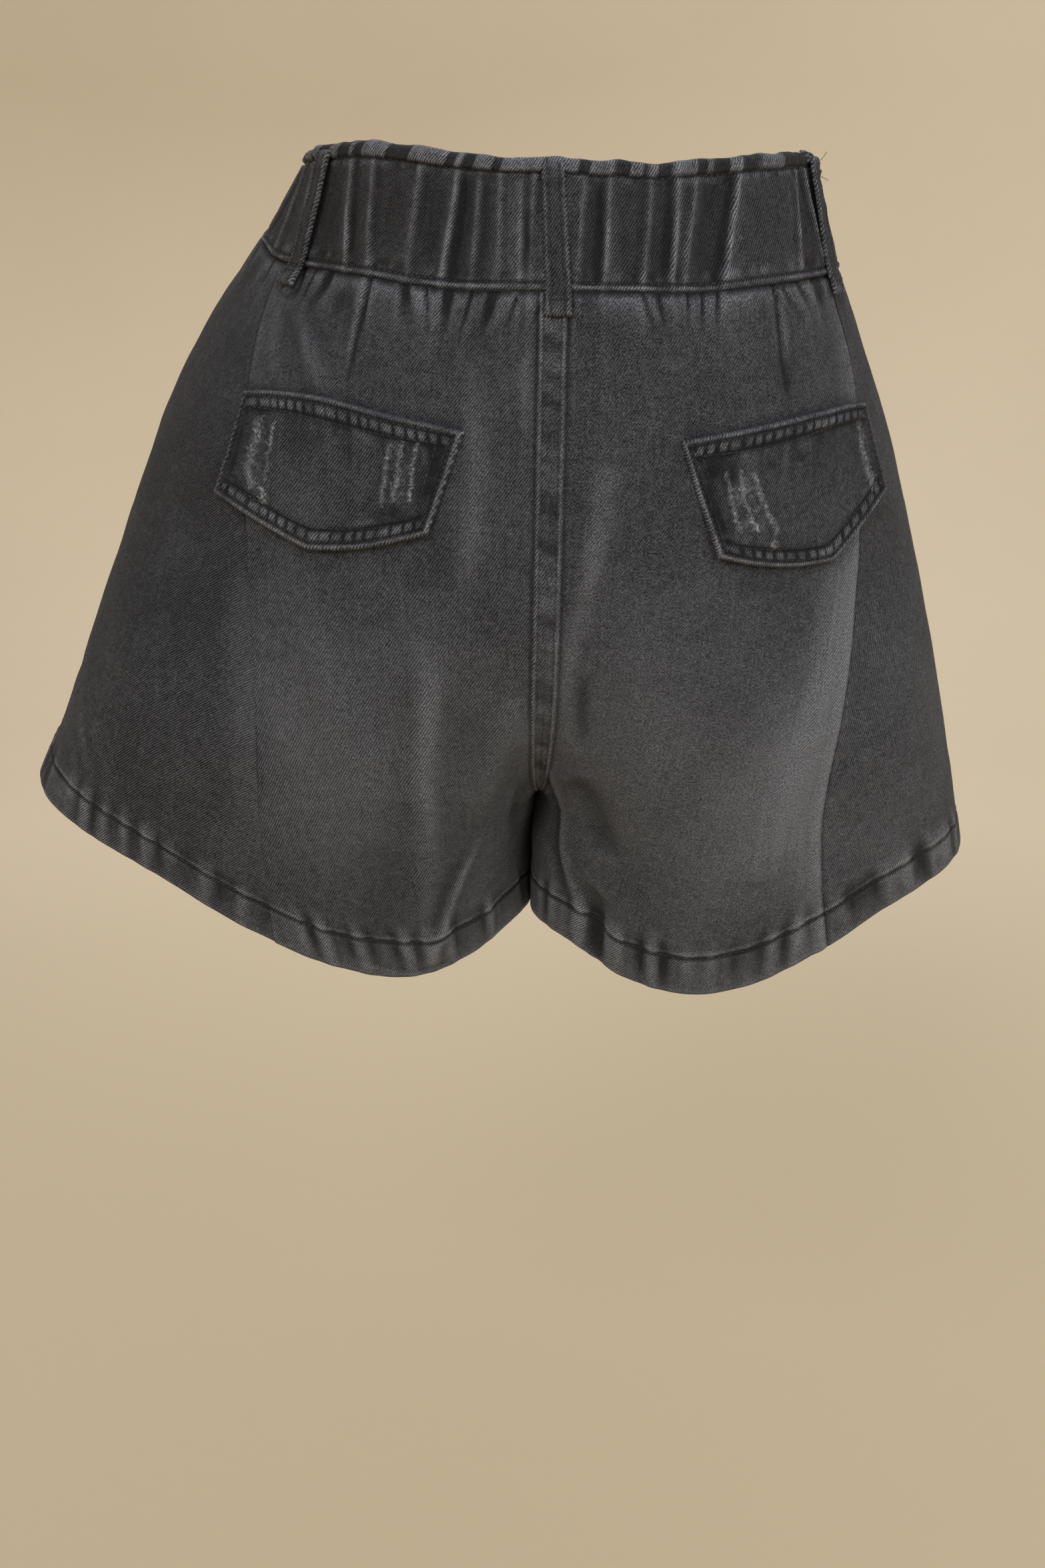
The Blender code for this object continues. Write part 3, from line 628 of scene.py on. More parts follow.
def flattened(points):
    """The flat cut of a surface given as a grid, in metres, with its first column's side at left."""
    links = []
    for a, b in (
        (np.s_[:, :-1], np.s_[:, 1:]), (np.s_[:-1, :], np.s_[1:, :]),
        (np.s_[:-1, :-1], np.s_[1:, 1:]), (np.s_[:-1, 1:], np.s_[1:, :-1]),
        (np.s_[:, :-2], np.s_[:, 2:]), (np.s_[:-2, :], np.s_[2:, :]),
    ):
        links.append((a, b, np.linalg.norm(points[b] - points[a], axis=-1)))
    across = np.cumsum(np.pad(links[0][2], ((0, 0), (1, 0))), axis=1)
    down = np.cumsum(np.pad(links[1][2], ((1, 0), (0, 0))), axis=0)
    flat = np.stack([across - across[:, -1:] / 2, -down], axis=-1)
    count = np.zeros(flat.shape[:2] + (1,))
    for a, b, _ in links:
        count[a] += 1
        count[b] += 1
    for _ in range(FLAT_TURNS):
        move = np.zeros_like(flat)
        for a, b, length in links:
            span = flat[b] - flat[a]
            now = np.linalg.norm(span, axis=-1)
            pull = span * ((now - length) / np.maximum(now, 1e-9) / 2)[..., None]
            move[a] += pull
            move[b] -= pull
        flat = flat + FLAT_PACE * move / count
    grain = flat[-1, flat.shape[1] // 2] - flat[0, flat.shape[1] // 2]
    turn = math.atan2(grain[0], -grain[1])
    c, s = math.cos(turn), math.sin(turn)
    return flat @ np.array([[c, s], [-s, c]])


def refined(coarse, rows, columns):
    """Reads a coarse grid at places given as parts of its height and width."""
    tall, wide = coarse.shape[0] - 1, coarse.shape[1] - 1
    r, c = np.clip(rows, 0, 1) * tall, np.clip(columns, 0, 1) * wide
    i, j = np.minimum(r.astype(int), tall - 1), np.minimum(c.astype(int), wide - 1)
    s, t = (r - i)[..., None], (c - j)[..., None]
    low = coarse[i, j] * (1 - t) + coarse[i, j + 1] * t
    high = coarse[i + 1, j] * (1 - t) + coarse[i + 1, j + 1] * t
    return low * (1 - s) + high * s


# Meshes

def placed(name, mesh, surface):
    mesh.materials.append(surface)
    piece = bpy.data.objects.new(name, mesh)
    bpy.context.scene.collection.objects.link(piece)
    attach(piece, "root")
    return piece


def even_shading(mesh, index, point_count):
    """Keeps a piece's shading even up to its first and last column."""
    rows, columns = index.shape
    marked = np.zeros(point_count, bool)
    for column in (index[:, 0], index[:, -1]):
        marked[column] = marked[column + rows * columns] = True
    ends = np.zeros(2 * len(mesh.edges), np.int32)
    mesh.edges.foreach_get("vertices", ends)
    ends = ends.reshape(-1, 2)
    sharp = marked[ends].all(axis=1) & (np.abs(ends[:, 0] - ends[:, 1]) == columns)
    mesh.attributes.new("sharp_edge", "BOOLEAN", "EDGE").data.foreach_set("value", sharp)


def wall_piece(name, outside, inside, flat, masks, bulges, turned, surface, seams=False):
    """A closed piece of cloth from outside and inside grids. bulges round its rims: top, bottom,
    first and last column. masks are read by the cloth's material. seams asks for even shading at
    the side seams."""
    if turned:
        outside, inside, flat = outside[:, ::-1], inside[:, ::-1], flat[:, ::-1]
        masks = {key: value[:, ::-1] for key, value in masks.items()}
        bulges = (bulges[0], bulges[1], bulges[3], bulges[2])
    rows, columns = outside.shape[:2]
    size = rows * columns
    index = np.arange(size).reshape(rows, columns)
    corners = (index[:-1, :-1], index[:-1, 1:], index[1:, 1:], index[1:, :-1])
    ring = np.concatenate([index[0, :-1], index[:-1, -1], index[-1, :0:-1], index[:0:-1, 0]])
    middle = (outside + inside) / 2
    away = np.zeros((rows, columns, 3))
    away[0] += unit(middle[0] - middle[1]) * bulges[0]
    away[-1] += unit(middle[-1] - middle[-2]) * bulges[1]
    away[:, 0] += unit(middle[:, 0] - middle[:, 1]) * bulges[2]
    away[:, -1] += unit(middle[:, -1] - middle[:, -2]) * bulges[3]
    rim = (middle + away).reshape(-1, 3)[ring]
    rim_index = 2 * size + np.arange(len(ring))
    next_ring, next_rim = np.roll(ring, -1), np.roll(rim_index, -1)
    faces = (
        np.stack(corners, -1),
        np.stack([corners[k] for k in (0, 3, 2, 1)], -1) + size,
        np.stack([next_ring, ring, rim_index, next_rim], -1),
        np.stack([next_rim, rim_index, ring + size, next_ring + size], -1),
    )
    points = np.concatenate([outside.reshape(-1, 3), inside.reshape(-1, 3), rim])
    quads = np.concatenate([face.reshape(-1, 4) for face in faces])
    mesh = bpy.data.meshes.new(name)
    mesh.vertices.add(len(points))
    mesh.vertices.foreach_set("co", points.ravel())
    mesh.loops.add(quads.size)
    mesh.loops.foreach_set("vertex_index", quads.ravel())
    mesh.polygons.add(len(quads))
    mesh.polygons.foreach_set("loop_start", np.arange(0, quads.size, 4))
    mesh.polygons.foreach_set("loop_total", np.full(len(quads), 4))
    mesh.polygons.foreach_set("use_smooth", np.ones(len(quads), bool))
    mesh.update(calc_edges=True)
    if seams:
        even_shading(mesh, index, len(points))
    flat = flat.reshape(-1, 2)
    uv = np.concatenate([flat, flat, flat[ring]])
    mesh.uv_layers.new(name="cut").data.foreach_set("uv", uv[quads.ravel()].ravel())
    for key, value in {**masks, "reverse": np.zeros((rows, columns))}.items():
        value = value.ravel()
        back = np.ones(size) if key == "reverse" else value * INSIDE_MASK
        whole = np.concatenate([value, back, value[ring]])
        mesh.attributes.new(key, "FLOAT", "POINT").data.foreach_set("value", whole.astype(np.float32))
    return placed(name, mesh, surface)


def rings_of(centre, side, up, radius, sides):
    """Rings of points round a line's points, one after another."""
    turn = np.linspace(0, 2 * math.pi, sides, endpoint=False)[:, None]
    return centre[..., None, :] + (
        side[..., None, :] * np.cos(turn) * radius + up[..., None, :] * np.sin(turn) * radius
    )


def tube_quads(shape):
    """The faces between rings whose point numbers have this shape."""
    index = np.arange(np.prod(shape)).reshape(shape)
    around = np.roll(index, -1, axis=-1)
    quads = [index[..., :-1, :], around[..., :-1, :], around[..., 1:, :], index[..., 1:, :]]
    return np.stack(quads, -1).reshape(-1, 4)


def stitches_along(points, normals, step=STITCH_STEP, length=STITCH_LENGTH):
    """Small raised stitches along a line: their points and quads."""
    run = lengths_along(points)
    starts = np.arange(step / 2, run[-1] - step / 2, step)
    s = np.linspace(-1, 1, STITCH_RINGS)
    at = starts[:, None] + s[None, :] * length / 2
    centre = np.stack([np.interp(at, run, points[:, k]) for k in range(3)], -1)
    up = unit(np.stack([np.interp(at, run, normals[:, k]) for k in range(3)], -1))
    side = unit(np.cross(unit(np.gradient(centre, axis=1)), up))
    radius = (STITCH_RADIUS * np.sqrt(np.clip(1.02 - s**2, 0.05, 1)))[None, :, None, None]
    centre = centre + up * (STITCH_RISE - STITCH_SINK * s[None, :, None] ** 2)
    ring = rings_of(centre, side, STITCH_FLATNESS * up, radius, STITCH_SIDES)
    return ring.reshape(-1, 3), tube_quads(ring.shape[:3])


def tube_along(points, radius):
    """A thread that gets thinner towards its end: its points and quads."""
    side = unit(np.cross(unit(np.gradient(points, axis=0)), TUBE_SIDE))
    up = np.cross(unit(np.gradient(points, axis=0)), side)
    thin = radius * np.linspace(1, TUBE_END, len(points))[:, None, None]
    ring = rings_of(points, side, up, thin, TUBE_SIDES)
    return ring.reshape(-1, 3), tube_quads(ring.shape[:2])


def joined_piece(name, parts, surface):
    points, quads, offset = [], [], 0
    for part_points, part_quads in parts:
        points.append(part_points)
        quads.append(part_quads + offset)
        offset += len(part_points)
    points, quads = np.concatenate(points), np.concatenate(quads)
    mesh = bpy.data.meshes.new(name)
    mesh.from_pydata(points.tolist(), [], quads.tolist())
    mesh.polygons.foreach_set("use_smooth", np.ones(len(quads), bool))
    return placed(name, mesh, surface)


def grid_line(grid, rows, columns):
    """Points at fractional rows and columns of a grid."""
    shape = np.array(grid.shape[:2]) - 1
    return refined(grid, np.asarray(rows) / shape[0], np.asarray(columns) / shape[1])


# Materials

# The cloth's noises. Columns: name, stretch over the flat cut, scale, detail, roughness
NOISES = (
    ("yarns", (2100, 620, 1), 1.0, 1.0, 0.55),
    ("grains", (1100, 1100, 1), 1.0, 2.0, 0.7),
    ("slubs", (760, 45, 1), 1.0, 2.0, 0.55),
    ("clouds", (1, 1, 1), 170.0, 3.0, 0.65),
    ("patches", (1, 1, 1), 22.0, 3.0, 0.5),
    ("specks", (1, 1, 1), 430.0, 2.0, 0.6),
    ("torn", (1, 1, 1), 620.0, 2.0, 0.6),
)
# How they vary the fade. Columns: name, the noise's low and high end, what these add
FADE_NOISES = (
    ("patches", 0.30, 0.70, -0.08, 0.09),
    ("slubs", 0.32, 0.70, -0.07, 0.08),
    ("specks", 0.30, 0.70, -0.13, 0.15),
    ("clouds", 0.30, 0.70, -0.10, 0.12),
)
TWILL_WAVE = {
    "Scale": math.pi / 10 / TWILL_PITCH, "Distortion": 2.1, "Detail": 3.0, "Detail Scale": 1.6,
    "Detail Roughness": 0.65,
}
SHEEN = {"Specular IOR Level": 0.18, "Sheen Weight": 0.03, "Sheen Roughness": 0.6}
# How light the cloth is, between the weave's lines and on them, under its painted shade in folds,
# grooves and hollows and in its unfaded patches, where it is torn and on its inside
TONES = {
    "low": 0.0065, "low_faded": 0.078, "low_worn": 0.060,
    "high": 0.092, "high_faded": 0.310, "high_worn": 0.460,
    "shade_and_unfaded": 0.008, "torn_low": 0.13, "torn_high": 0.38, "reverse_low": 0.060, "reverse_high": 0.17,
}
# How blue its greys are
BLUE, FADED_BLUE, WORN_BLUE, THREAD_BLUE = 1.20, 1.13, 1.16, 1.08


class Nodes:
    """Short calls for building a material's node tree."""

    def __init__(self, name):
        self.material = bpy.data.materials.new(name)
        self.material.use_nodes = True
        self.tree = self.material.node_tree

    def put(self, value, socket):
        if isinstance(value, bpy.types.NodeSocket):
            self.tree.links.new(value, socket)
        elif value is not None:
            socket.default_value = value

    def add(self, kind, output, inputs, **settings):
        """A new node with these inputs and settings. Gives one of its outputs."""
        node = self.tree.nodes.new("ShaderNode" + kind)
        for key, value in settings.items():
            setattr(node, key, value)
        for key, value in inputs.items():
            self.put(value, node.inputs[key])
        return node.outputs[output]

    def mask(self, name):
        return self.add("Attribute", "Fac", {}, attribute_name=name)

    def math(self, kind, a, b=0.0, clamp=False):
        return self.add("Math", 0, {0: a, 1: b}, operation=kind, use_clamp=clamp)

    def cut(self, angle, scale=(1, 1, 1)):
        """The flat cut's coordinates, turned and stretched."""
        source = self.add("UVMap", 0, {}, uv_map="cut")
        turn = (0, 0, math.radians(angle))
        return self.add("Mapping", 0, {"Vector": source, "Rotation": turn, "Scale": scale})

    def noise(self, vector, scale, detail=3.0, roughness=0.55):
        inputs = {"Vector": vector, "Scale": scale, "Detail": detail, "Roughness": roughness}
        return self.add("TexNoise", "Fac", inputs)

    def spread(self, value, low, high, least=0.0, most=1.0):
        """A value's range from low to high, turned into one from least to most."""
        ends = {"From Min": low, "From Max": high, "To Min": least, "To Max": most}
        return self.add("MapRange", "Result", {"Value": value, **ends})

    def mixed(self, share, a, b):
        return self.add("Mix", 2, {0: share, 6: a, 7: b}, data_type="RGBA")

    def bump(self, height, distance, strength=1.0, before=None):
        inputs = {"Height": height, "Distance": distance, "Strength": strength, "Normal": before}
        return self.add("Bump", 0, inputs)

    def finished(self, colour, roughness, normal=None, more=None):
        """The material, with these on its surface."""
        surface = {"Base Color": colour, "Roughness": roughness, "Normal": normal, **(more or {})}
        for key, value in surface.items():
            self.put(value, self.tree.nodes["Principled BSDF"].inputs[key])
        return self.material


def grey(value, blue=BLUE):
    return (value * 0.92, value * 0.99, value * blue, 1.0)


def denim(name, tone=1.0, worn=1.0):
    """Washed black twill: broken lines of the weave, slubs, worn ridges and painted shade in folds."""
    n = Nodes(name)
    lines = n.add("TexWave", "Fac", {"Vector": n.cut(90.0 - TWILL_ANGLE), **TWILL_WAVE},
                  wave_type="BANDS", bands_direction="X", wave_profile="SIN")
    twill = n.spread(lines, 0.20, 0.86)
    noise = {key: n.noise(n.cut(0, stretch), *rest) for key, stretch, *rest in NOISES}
    clean = n.math("MULTIPLY", twill, n.spread(noise["yarns"], 0.34, 0.66, 0.30, 1.25))
    clean = n.math("ADD", clean, n.spread(noise["grains"], 0.42, 0.72, -0.12, 0.34), True)
    plain = n.spread(twill, 0, 1, 0.50, 1.0)
    rough = n.math("MULTIPLY", plain, n.spread(noise["grains"], 0.37, 0.63), True)
    share = n.math("ADD", n.mask("grain"), n.spread(noise["clouds"], 0.30, 0.70, -0.25, 0.25), True)
    rough = n.math("MULTIPLY", rough, share)
    weave = n.math("ADD", n.math("MULTIPLY", clean, n.math("SUBTRACT", 1.0, share)), rough, True)
    wear = n.math("MULTIPLY", n.mask("wear"), n.spread(noise["clouds"], 0.30, 0.65, 0.60, 1.20))
    wear = n.math("MULTIPLY", wear, worn, True)
    fade = n.mask("fade")
    for key, low, high, least, most in FADE_NOISES:
        last = key == FADE_NOISES[-1][0]
        fade = n.math("ADD", fade, n.spread(noise[key], low, high, least, most), last)
    low = n.mixed(fade, grey(TONES["low"] * tone), grey(TONES["low_faded"] * tone))
    low = n.mixed(wear, low, grey(TONES["low_worn"] * tone))
    high = n.mixed(fade, grey(TONES["high"] * tone), grey(TONES["high_faded"] * tone, FADED_BLUE))
    high = n.mixed(wear, high, grey(TONES["high_worn"] * tone, WORN_BLUE))
    colour = n.mixed(n.spread(weave, 0.04, 0.92), low, high)
    # The dark mask paints shade into folds, grooves and hollows, and darkens unfaded patches.
    dark = n.math("MULTIPLY", n.mask("dark"), 0.86, True)
    colour = n.mixed(dark, colour, grey(TONES["shade_and_unfaded"] * tone))
    bare = n.math("MULTIPLY", n.mask("bare"), n.spread(noise["torn"], 0.40, 0.60, 0.10, 1.25), True)
    threads = (grey(TONES[key], THREAD_BLUE) for key in ("torn_low", "torn_high"))
    colour = n.mixed(bare, colour, n.mixed(n.spread(noise["torn"], 0.45, 0.62), *threads))
    inner = n.mixed(n.spread(weave, 0.1, 0.9), grey(TONES["reverse_low"]), grey(TONES["reverse_high"]))
    colour = n.mixed(n.mask("reverse"), colour, inner)
    relief = n.bump(noise["clouds"], 0.0008, 0.40, n.bump(weave, 0.00025, 0.9))
    return n.finished(colour, n.spread(weave, 0, 1, 0.95, 0.84), relief, SHEEN)


def thread_material(name, low, high):
    n = Nodes(name)
    source = n.add("TexCoord", "Object", {})
    twist, tone = n.noise(source, 900.0, 2.0), n.noise(source, 60.0, 2.0)
    colour = n.mixed(n.spread(tone, 0.3, 0.7), grey(low, THREAD_BLUE), grey(high, THREAD_BLUE))
    return n.finished(colour, n.spread(twist, 0.3, 0.7, 0.55, 0.8), n.bump(twist, 0.0002, 0.6))


DENIM = denim("washed_denim")
WORN_DENIM = denim("worn_denim", 0.88, 1.25)
THREAD = thread_material("thread", 0.012, 0.055)
FRAYED = thread_material("frayed_thread", 0.08, 0.28)


# Panels

ROWS_ABOVE_HEM = 116
ROWS_IN_HEM = 32
HEM_ROWS_TALL = 0.032       # the rows are closer together in the hem and just above it
CROTCH_ROWS = (0.7700, 0.7740, 0.7770, 0.7788, 0.7797, 0.7830)
CROTCH_SPAN = (0.7685, 0.7815)  # where they take the place of the even rows
COLUMNS = {"back": 116, "front": 122}
COLUMNS_IN_EDGE = 11
EDGE_PART = 0.05            # of the panel's width, with closer columns
LEVEL_REACH = 0.012         # below the waist seam the cloth still faces level
LEG_BEND = 0.0060           # the legs' inner faces curve alike, so that no light falls between
LEGS_APART = 0.0003         # half the space that is left between them
CENTRE_CLOSE = 0.00012      # how far each half's cloth moves in to meet the other
LADDER_SEED = 17            # the felled seam's puckers run across both halves
LADDER_PITCH = 0.0040
PUCKER_HEIGHT = 0.0016
INSIDE_PART = 0.4           # of the fine form, that shows on the inside
HEM_PULL = 0.0068           # the spacing of the slanted pulls in the hem
# How far the middle of a rim reaches out, so that no light falls through the seams
HEM_RIM, CENTRE_RIM, SIDE_RIM = 0.0007, 0.00018, 0.00006
# How plainly each side seam shows. Columns: down in parts of the panel's length, clearness
SIDE_SEAMS = {
    "left": ((0.0, 0.9), (0.28, 0.6), (0.38, 0.15), (0.50, 0.0), (0.92, 0.0), (1.0, 0.15)),
    "right": ((0.0, 0.8), (0.20, 0.5), (0.34, 0.5), (0.42, 1.0), (0.84, 1.0), (0.93, 0.7), (1.0, 0.8)),
}
# Small rumples over a panel. Columns: height, spacing
RUMPLES = ((0.00028, 0.017), (0.00010, 0.0060))
# Ridges and grooves that the felled seam's layers smooth out. Columns: kind, measured from, at,
# half width, height, pattern along the line
UNDER_FELL = (
    ("lift", "from_hem", HEM_STITCH, 0.0013, -0.0008, "beads"),
    ("lift", "from_hem", HEM_STITCH + 0.0030, 0.0016, 0.0006, "ropes"),
    ("lift", "from_hem", 0.0, 0.0014, -0.0007, "even"),
    ("lift", "down_m", 0.0, 0.0012, -0.0006, "even"),
)
# Lines along seams and hems, on both panels of a half, its back or its front. Columns: kind (lift
# is a height, wear, dark and fade are parts of a mask), measured from, at, half width, amount,
# pattern along the line
# The dark lines are painted shade in the grooves of the hem, waist seam, side seam and felled seam.
PANEL_LINES = {
    "both": (
        ("lift", "side", 0.0, 0.0010, -0.0004, "clear"),
        ("wear", "from_hem", HEM_STITCH + 0.0026, 0.0013, 0.50, "spots"),
        ("wear", "from_hem", 0.0, 0.0017, 0.60, "rubs"),
        ("dark", "from_hem", HEM_STITCH - 0.0004, 0.0012, 0.85, "even"),
        ("dark", "down_m", 0.0, 0.0016, 0.55, "even"),
        ("dark", "side", 0.0, 0.0010, 1.0, "shaded"),
    ),
    "back": (
        ("lift", "centre", FELL_WIDTH - 0.0008, 0.0009, 0.00040, "above"),
        ("lift", "centre", 0.0042, 0.0006, -0.00020, "above"),
        ("lift", "centre", FELL_WIDTH + 0.0016, 0.0013, -0.00045, "above"),
        ("lift", "side", -0.0030, 0.0028, 0.0006, "rolled"),
        ("lift", "side", -0.0090, 0.0020, -0.0004, "clear"),
        ("wear", "centre", FELL_WIDTH - 0.0006, 0.0010, 0.50, "broken"),
        ("dark", "centre", FELL_WIDTH + 0.0012, 0.0009, 0.60, "above"),
        ("dark", "centre", 0.0042, 0.0006, 0.16, "above"),
        ("wear", "side", -0.0040, 0.0046, 0.50, "streaked"),
        ("wear", "side", -0.0020, 0.0014, 0.30, "ragged"),
        ("fade", "side", -0.0060, 0.0090, 0.40, "worn"),
    ),
    "front": (
        ("lift", "centre", 0.0045, 0.002, 0.0005, "above"),
        ("lift", "centre", 0.0, 0.0014, -0.0006, "above"),
        ("wear", "centre", 0.0044, 0.0012, 0.25, "broken"),
    ),
}
# Wear on what stands out from its surroundings and shade in what lies in. Columns: how often the
# surroundings are blurred, the full height, wear, more wear where sewn, shade, more where sewn
RELIEF = (
    (6, 0.00022, 0.07, 0.26, 0.10, 0.38),
    (70, 0.0022, 0.06, 0.12, 0.10, 0.25),
)
PLAIN_FADE = 0.11
# How the halves' cloth differs: fade that the front lacks and that both gain lower down, wear and
# shade along the side seam, how frayed the marks beside it look, grain, and shade on the front
LOOKS = {
    "left": {"front_loss": 0.11, "low_gain": 0.09, "seam_wear": 0.40, "seam_shade": 0.63,
             "threads": 0.2, "grain": 0.05, "front_shade": 0.14},
    "right": {"front_loss": 0.0, "low_gain": 0.14, "seam_wear": 1.15, "seam_shade": 0.30,
              "threads": 1.0, "grain": 0.45, "front_shade": 0.0},
}
# Marks, listed one by one. Columns: kind, width, strength, points (from the side seam, down from
# the waist seam). hidden_share says where the front panels have them too
# Most dark marks are painted shade in creases, fold troughs and darts.
MARKS = {
    "left": (
        ("fade", 0.034, 0.26, ((0.028, 0.130), (0.018, 0.215), (0.052, 0.330))),
        ("fade", 0.030, 0.10, ((0.084, 0.130), (0.063, 0.260))),
        ("fade", 0.0055, 0.30, ((0.134, 0.016), (0.135, 0.085), (0.121, 0.140), (0.104, 0.162))),
        ("fade", 0.0055, 0.34, ((0.104, 0.162), (0.098, 0.190), (0.090, 0.240), (0.095, 0.290))),
        ("fade", 0.0030, 0.34, ((0.160, 0.018), (0.161, 0.066))),
        ("wear", 0.0060, 0.16, ((0.098, 0.150), (0.087, 0.238), (0.094, 0.280), (0.100, 0.350))),
        ("wear", 0.0022, 0.40, ((0.128, 0.290), (0.101, 0.345), (0.087, 0.376))),
        ("dark", 0.0030, 0.30, ((0.122, 0.290), (0.095, 0.340), (0.082, 0.372))),
        ("wear", 0.0060, 0.14, ((0.137, 0.190), (0.157, 0.296))),
        ("dark", 0.0060, 0.22, ((0.144, 0.220), (0.160, 0.330))),
        ("dark", 0.0120, 0.22, ((0.073, 0.250), (0.057, 0.380))),
        ("dark", 0.0012, 0.80, ((0.074, -0.002), (0.071, 0.022), (0.069, 0.039), (0.066, 0.056))),
        ("wear", 0.0014, 0.30, ((0.071, 0.002), (0.068, 0.024), (0.066, 0.044))),
        ("wear", 0.0045, 0.18, ((0.019, 0.004), (0.055, 0.062))),
        ("wear", 0.0045, 0.16, ((0.009, 0.008), (0.022, 0.066))),
        ("dark", 0.0045, 0.34, ((0.015, 0.000), (0.039, 0.050))),
        ("dark", 0.0060, 0.26, ((0.111, 0.100), (0.111, 0.135))),
        ("dark", 0.0045, 0.60, ((0.060, 0.010), (0.052, 0.016))),
    ),
    "right": (
        ("fade", 0.020, 0.80, ((0.012, 0.110), (0.008, 0.210), (0.026, 0.330))),
        ("fade", 0.036, 0.34, ((0.040, 0.180), (0.036, 0.240), (0.056, 0.340))),
        ("fade", 0.034, 0.10, ((0.120, 0.110), (0.098, 0.260))),
        ("fade", 0.0050, 0.28, ((0.150, 0.090), (0.158, 0.170), (0.152, 0.230))),
        ("wear", 0.0070, 0.18, ((0.155, 0.066), (0.156, 0.160))),
        ("dark", 0.0030, 0.42, ((0.148, 0.185), (0.139, 0.240))),
        ("dark", 0.0080, 0.32, ((0.147, 0.256), (0.122, 0.280), (0.121, 0.308))),
        ("wear", 0.0026, 0.45, ((0.160, 0.240), (0.159, 0.290), (0.154, 0.315), (0.138, 0.366))),
        ("dark", 0.0042, 0.62, ((0.166, 0.240), (0.165, 0.290), (0.160, 0.318), (0.146, 0.362))),
        ("dark", 0.0012, 0.80, ((0.054, -0.002), (0.057, 0.019), (0.059, 0.035), (0.055, 0.063))),
        ("wear", 0.0014, 0.30, ((0.052, 0.002), (0.054, 0.020), (0.056, 0.040))),
        ("wear", 0.0030, 0.18, ((0.022, 0.000), (0.023, 0.032))),
        ("dark", 0.0060, 0.50, ((0.052, 0.030), (0.060, 0.056))),
    ),
}
# The worn middle of each front thigh. Columns: width, strength, points
THIGH_FADE = (0.0400, 0.22, ((0.200, 0.110), (0.210, 0.330)))
# Creases, listed one by one. Columns: height, width, points
CREASES = {
    "left": (
        (0.0014, 0.0045, ((0.128, 0.290), (0.101, 0.345), (0.087, 0.376))),
        (-0.0014, 0.0070, ((0.120, 0.290), (0.092, 0.340), (0.078, 0.372))),
        (0.0010, 0.0060, ((0.137, 0.190), (0.157, 0.296))),
        (-0.0010, 0.0060, ((0.146, 0.190), (0.167, 0.300))),
        (0.0010, 0.0080, ((0.098, 0.150), (0.087, 0.238), (0.094, 0.280), (0.100, 0.350))),
    ),
    "right": (
        (0.0018, 0.0045, ((0.160, 0.240), (0.159, 0.290), (0.154, 0.315), (0.138, 0.366))),
        (-0.0024, 0.0060, ((0.168, 0.246), (0.167, 0.290), (0.162, 0.318), (0.149, 0.362))),
        (0.0009, 0.0070, ((0.155, 0.060), (0.156, 0.160))),
        (-0.0010, 0.0040, ((0.148, 0.185), (0.139, 0.240))),
    ),
}


def row_places(half, face, down, part):
    """A panel's columns on the half ring, evened out where the crotch turns under the body."""
    downs, back, front = even_lengths(half)
    length, seam = ring_length(half, down), side_seam_around(half, down)
    gap = CUT_GAP / 2 / length
    end = gap if down > CROTCH_DOWN else 0.0
    if face == "back":
        own, even = length * seam, np.interp(down, downs, back)
        off = (1 - part) * (own + (even - own) * step_up(part, 0.2, 0.4)) / length
        return np.clip(seam - off, end, seam - gap)
    own, even = length * (1 - seam), np.interp(down, downs, front)
    off = part * (own + (even - own) * step_up(1 - part, 0.2, 0.4)) / length
    return np.clip(seam + off, seam + gap, 1 - end)


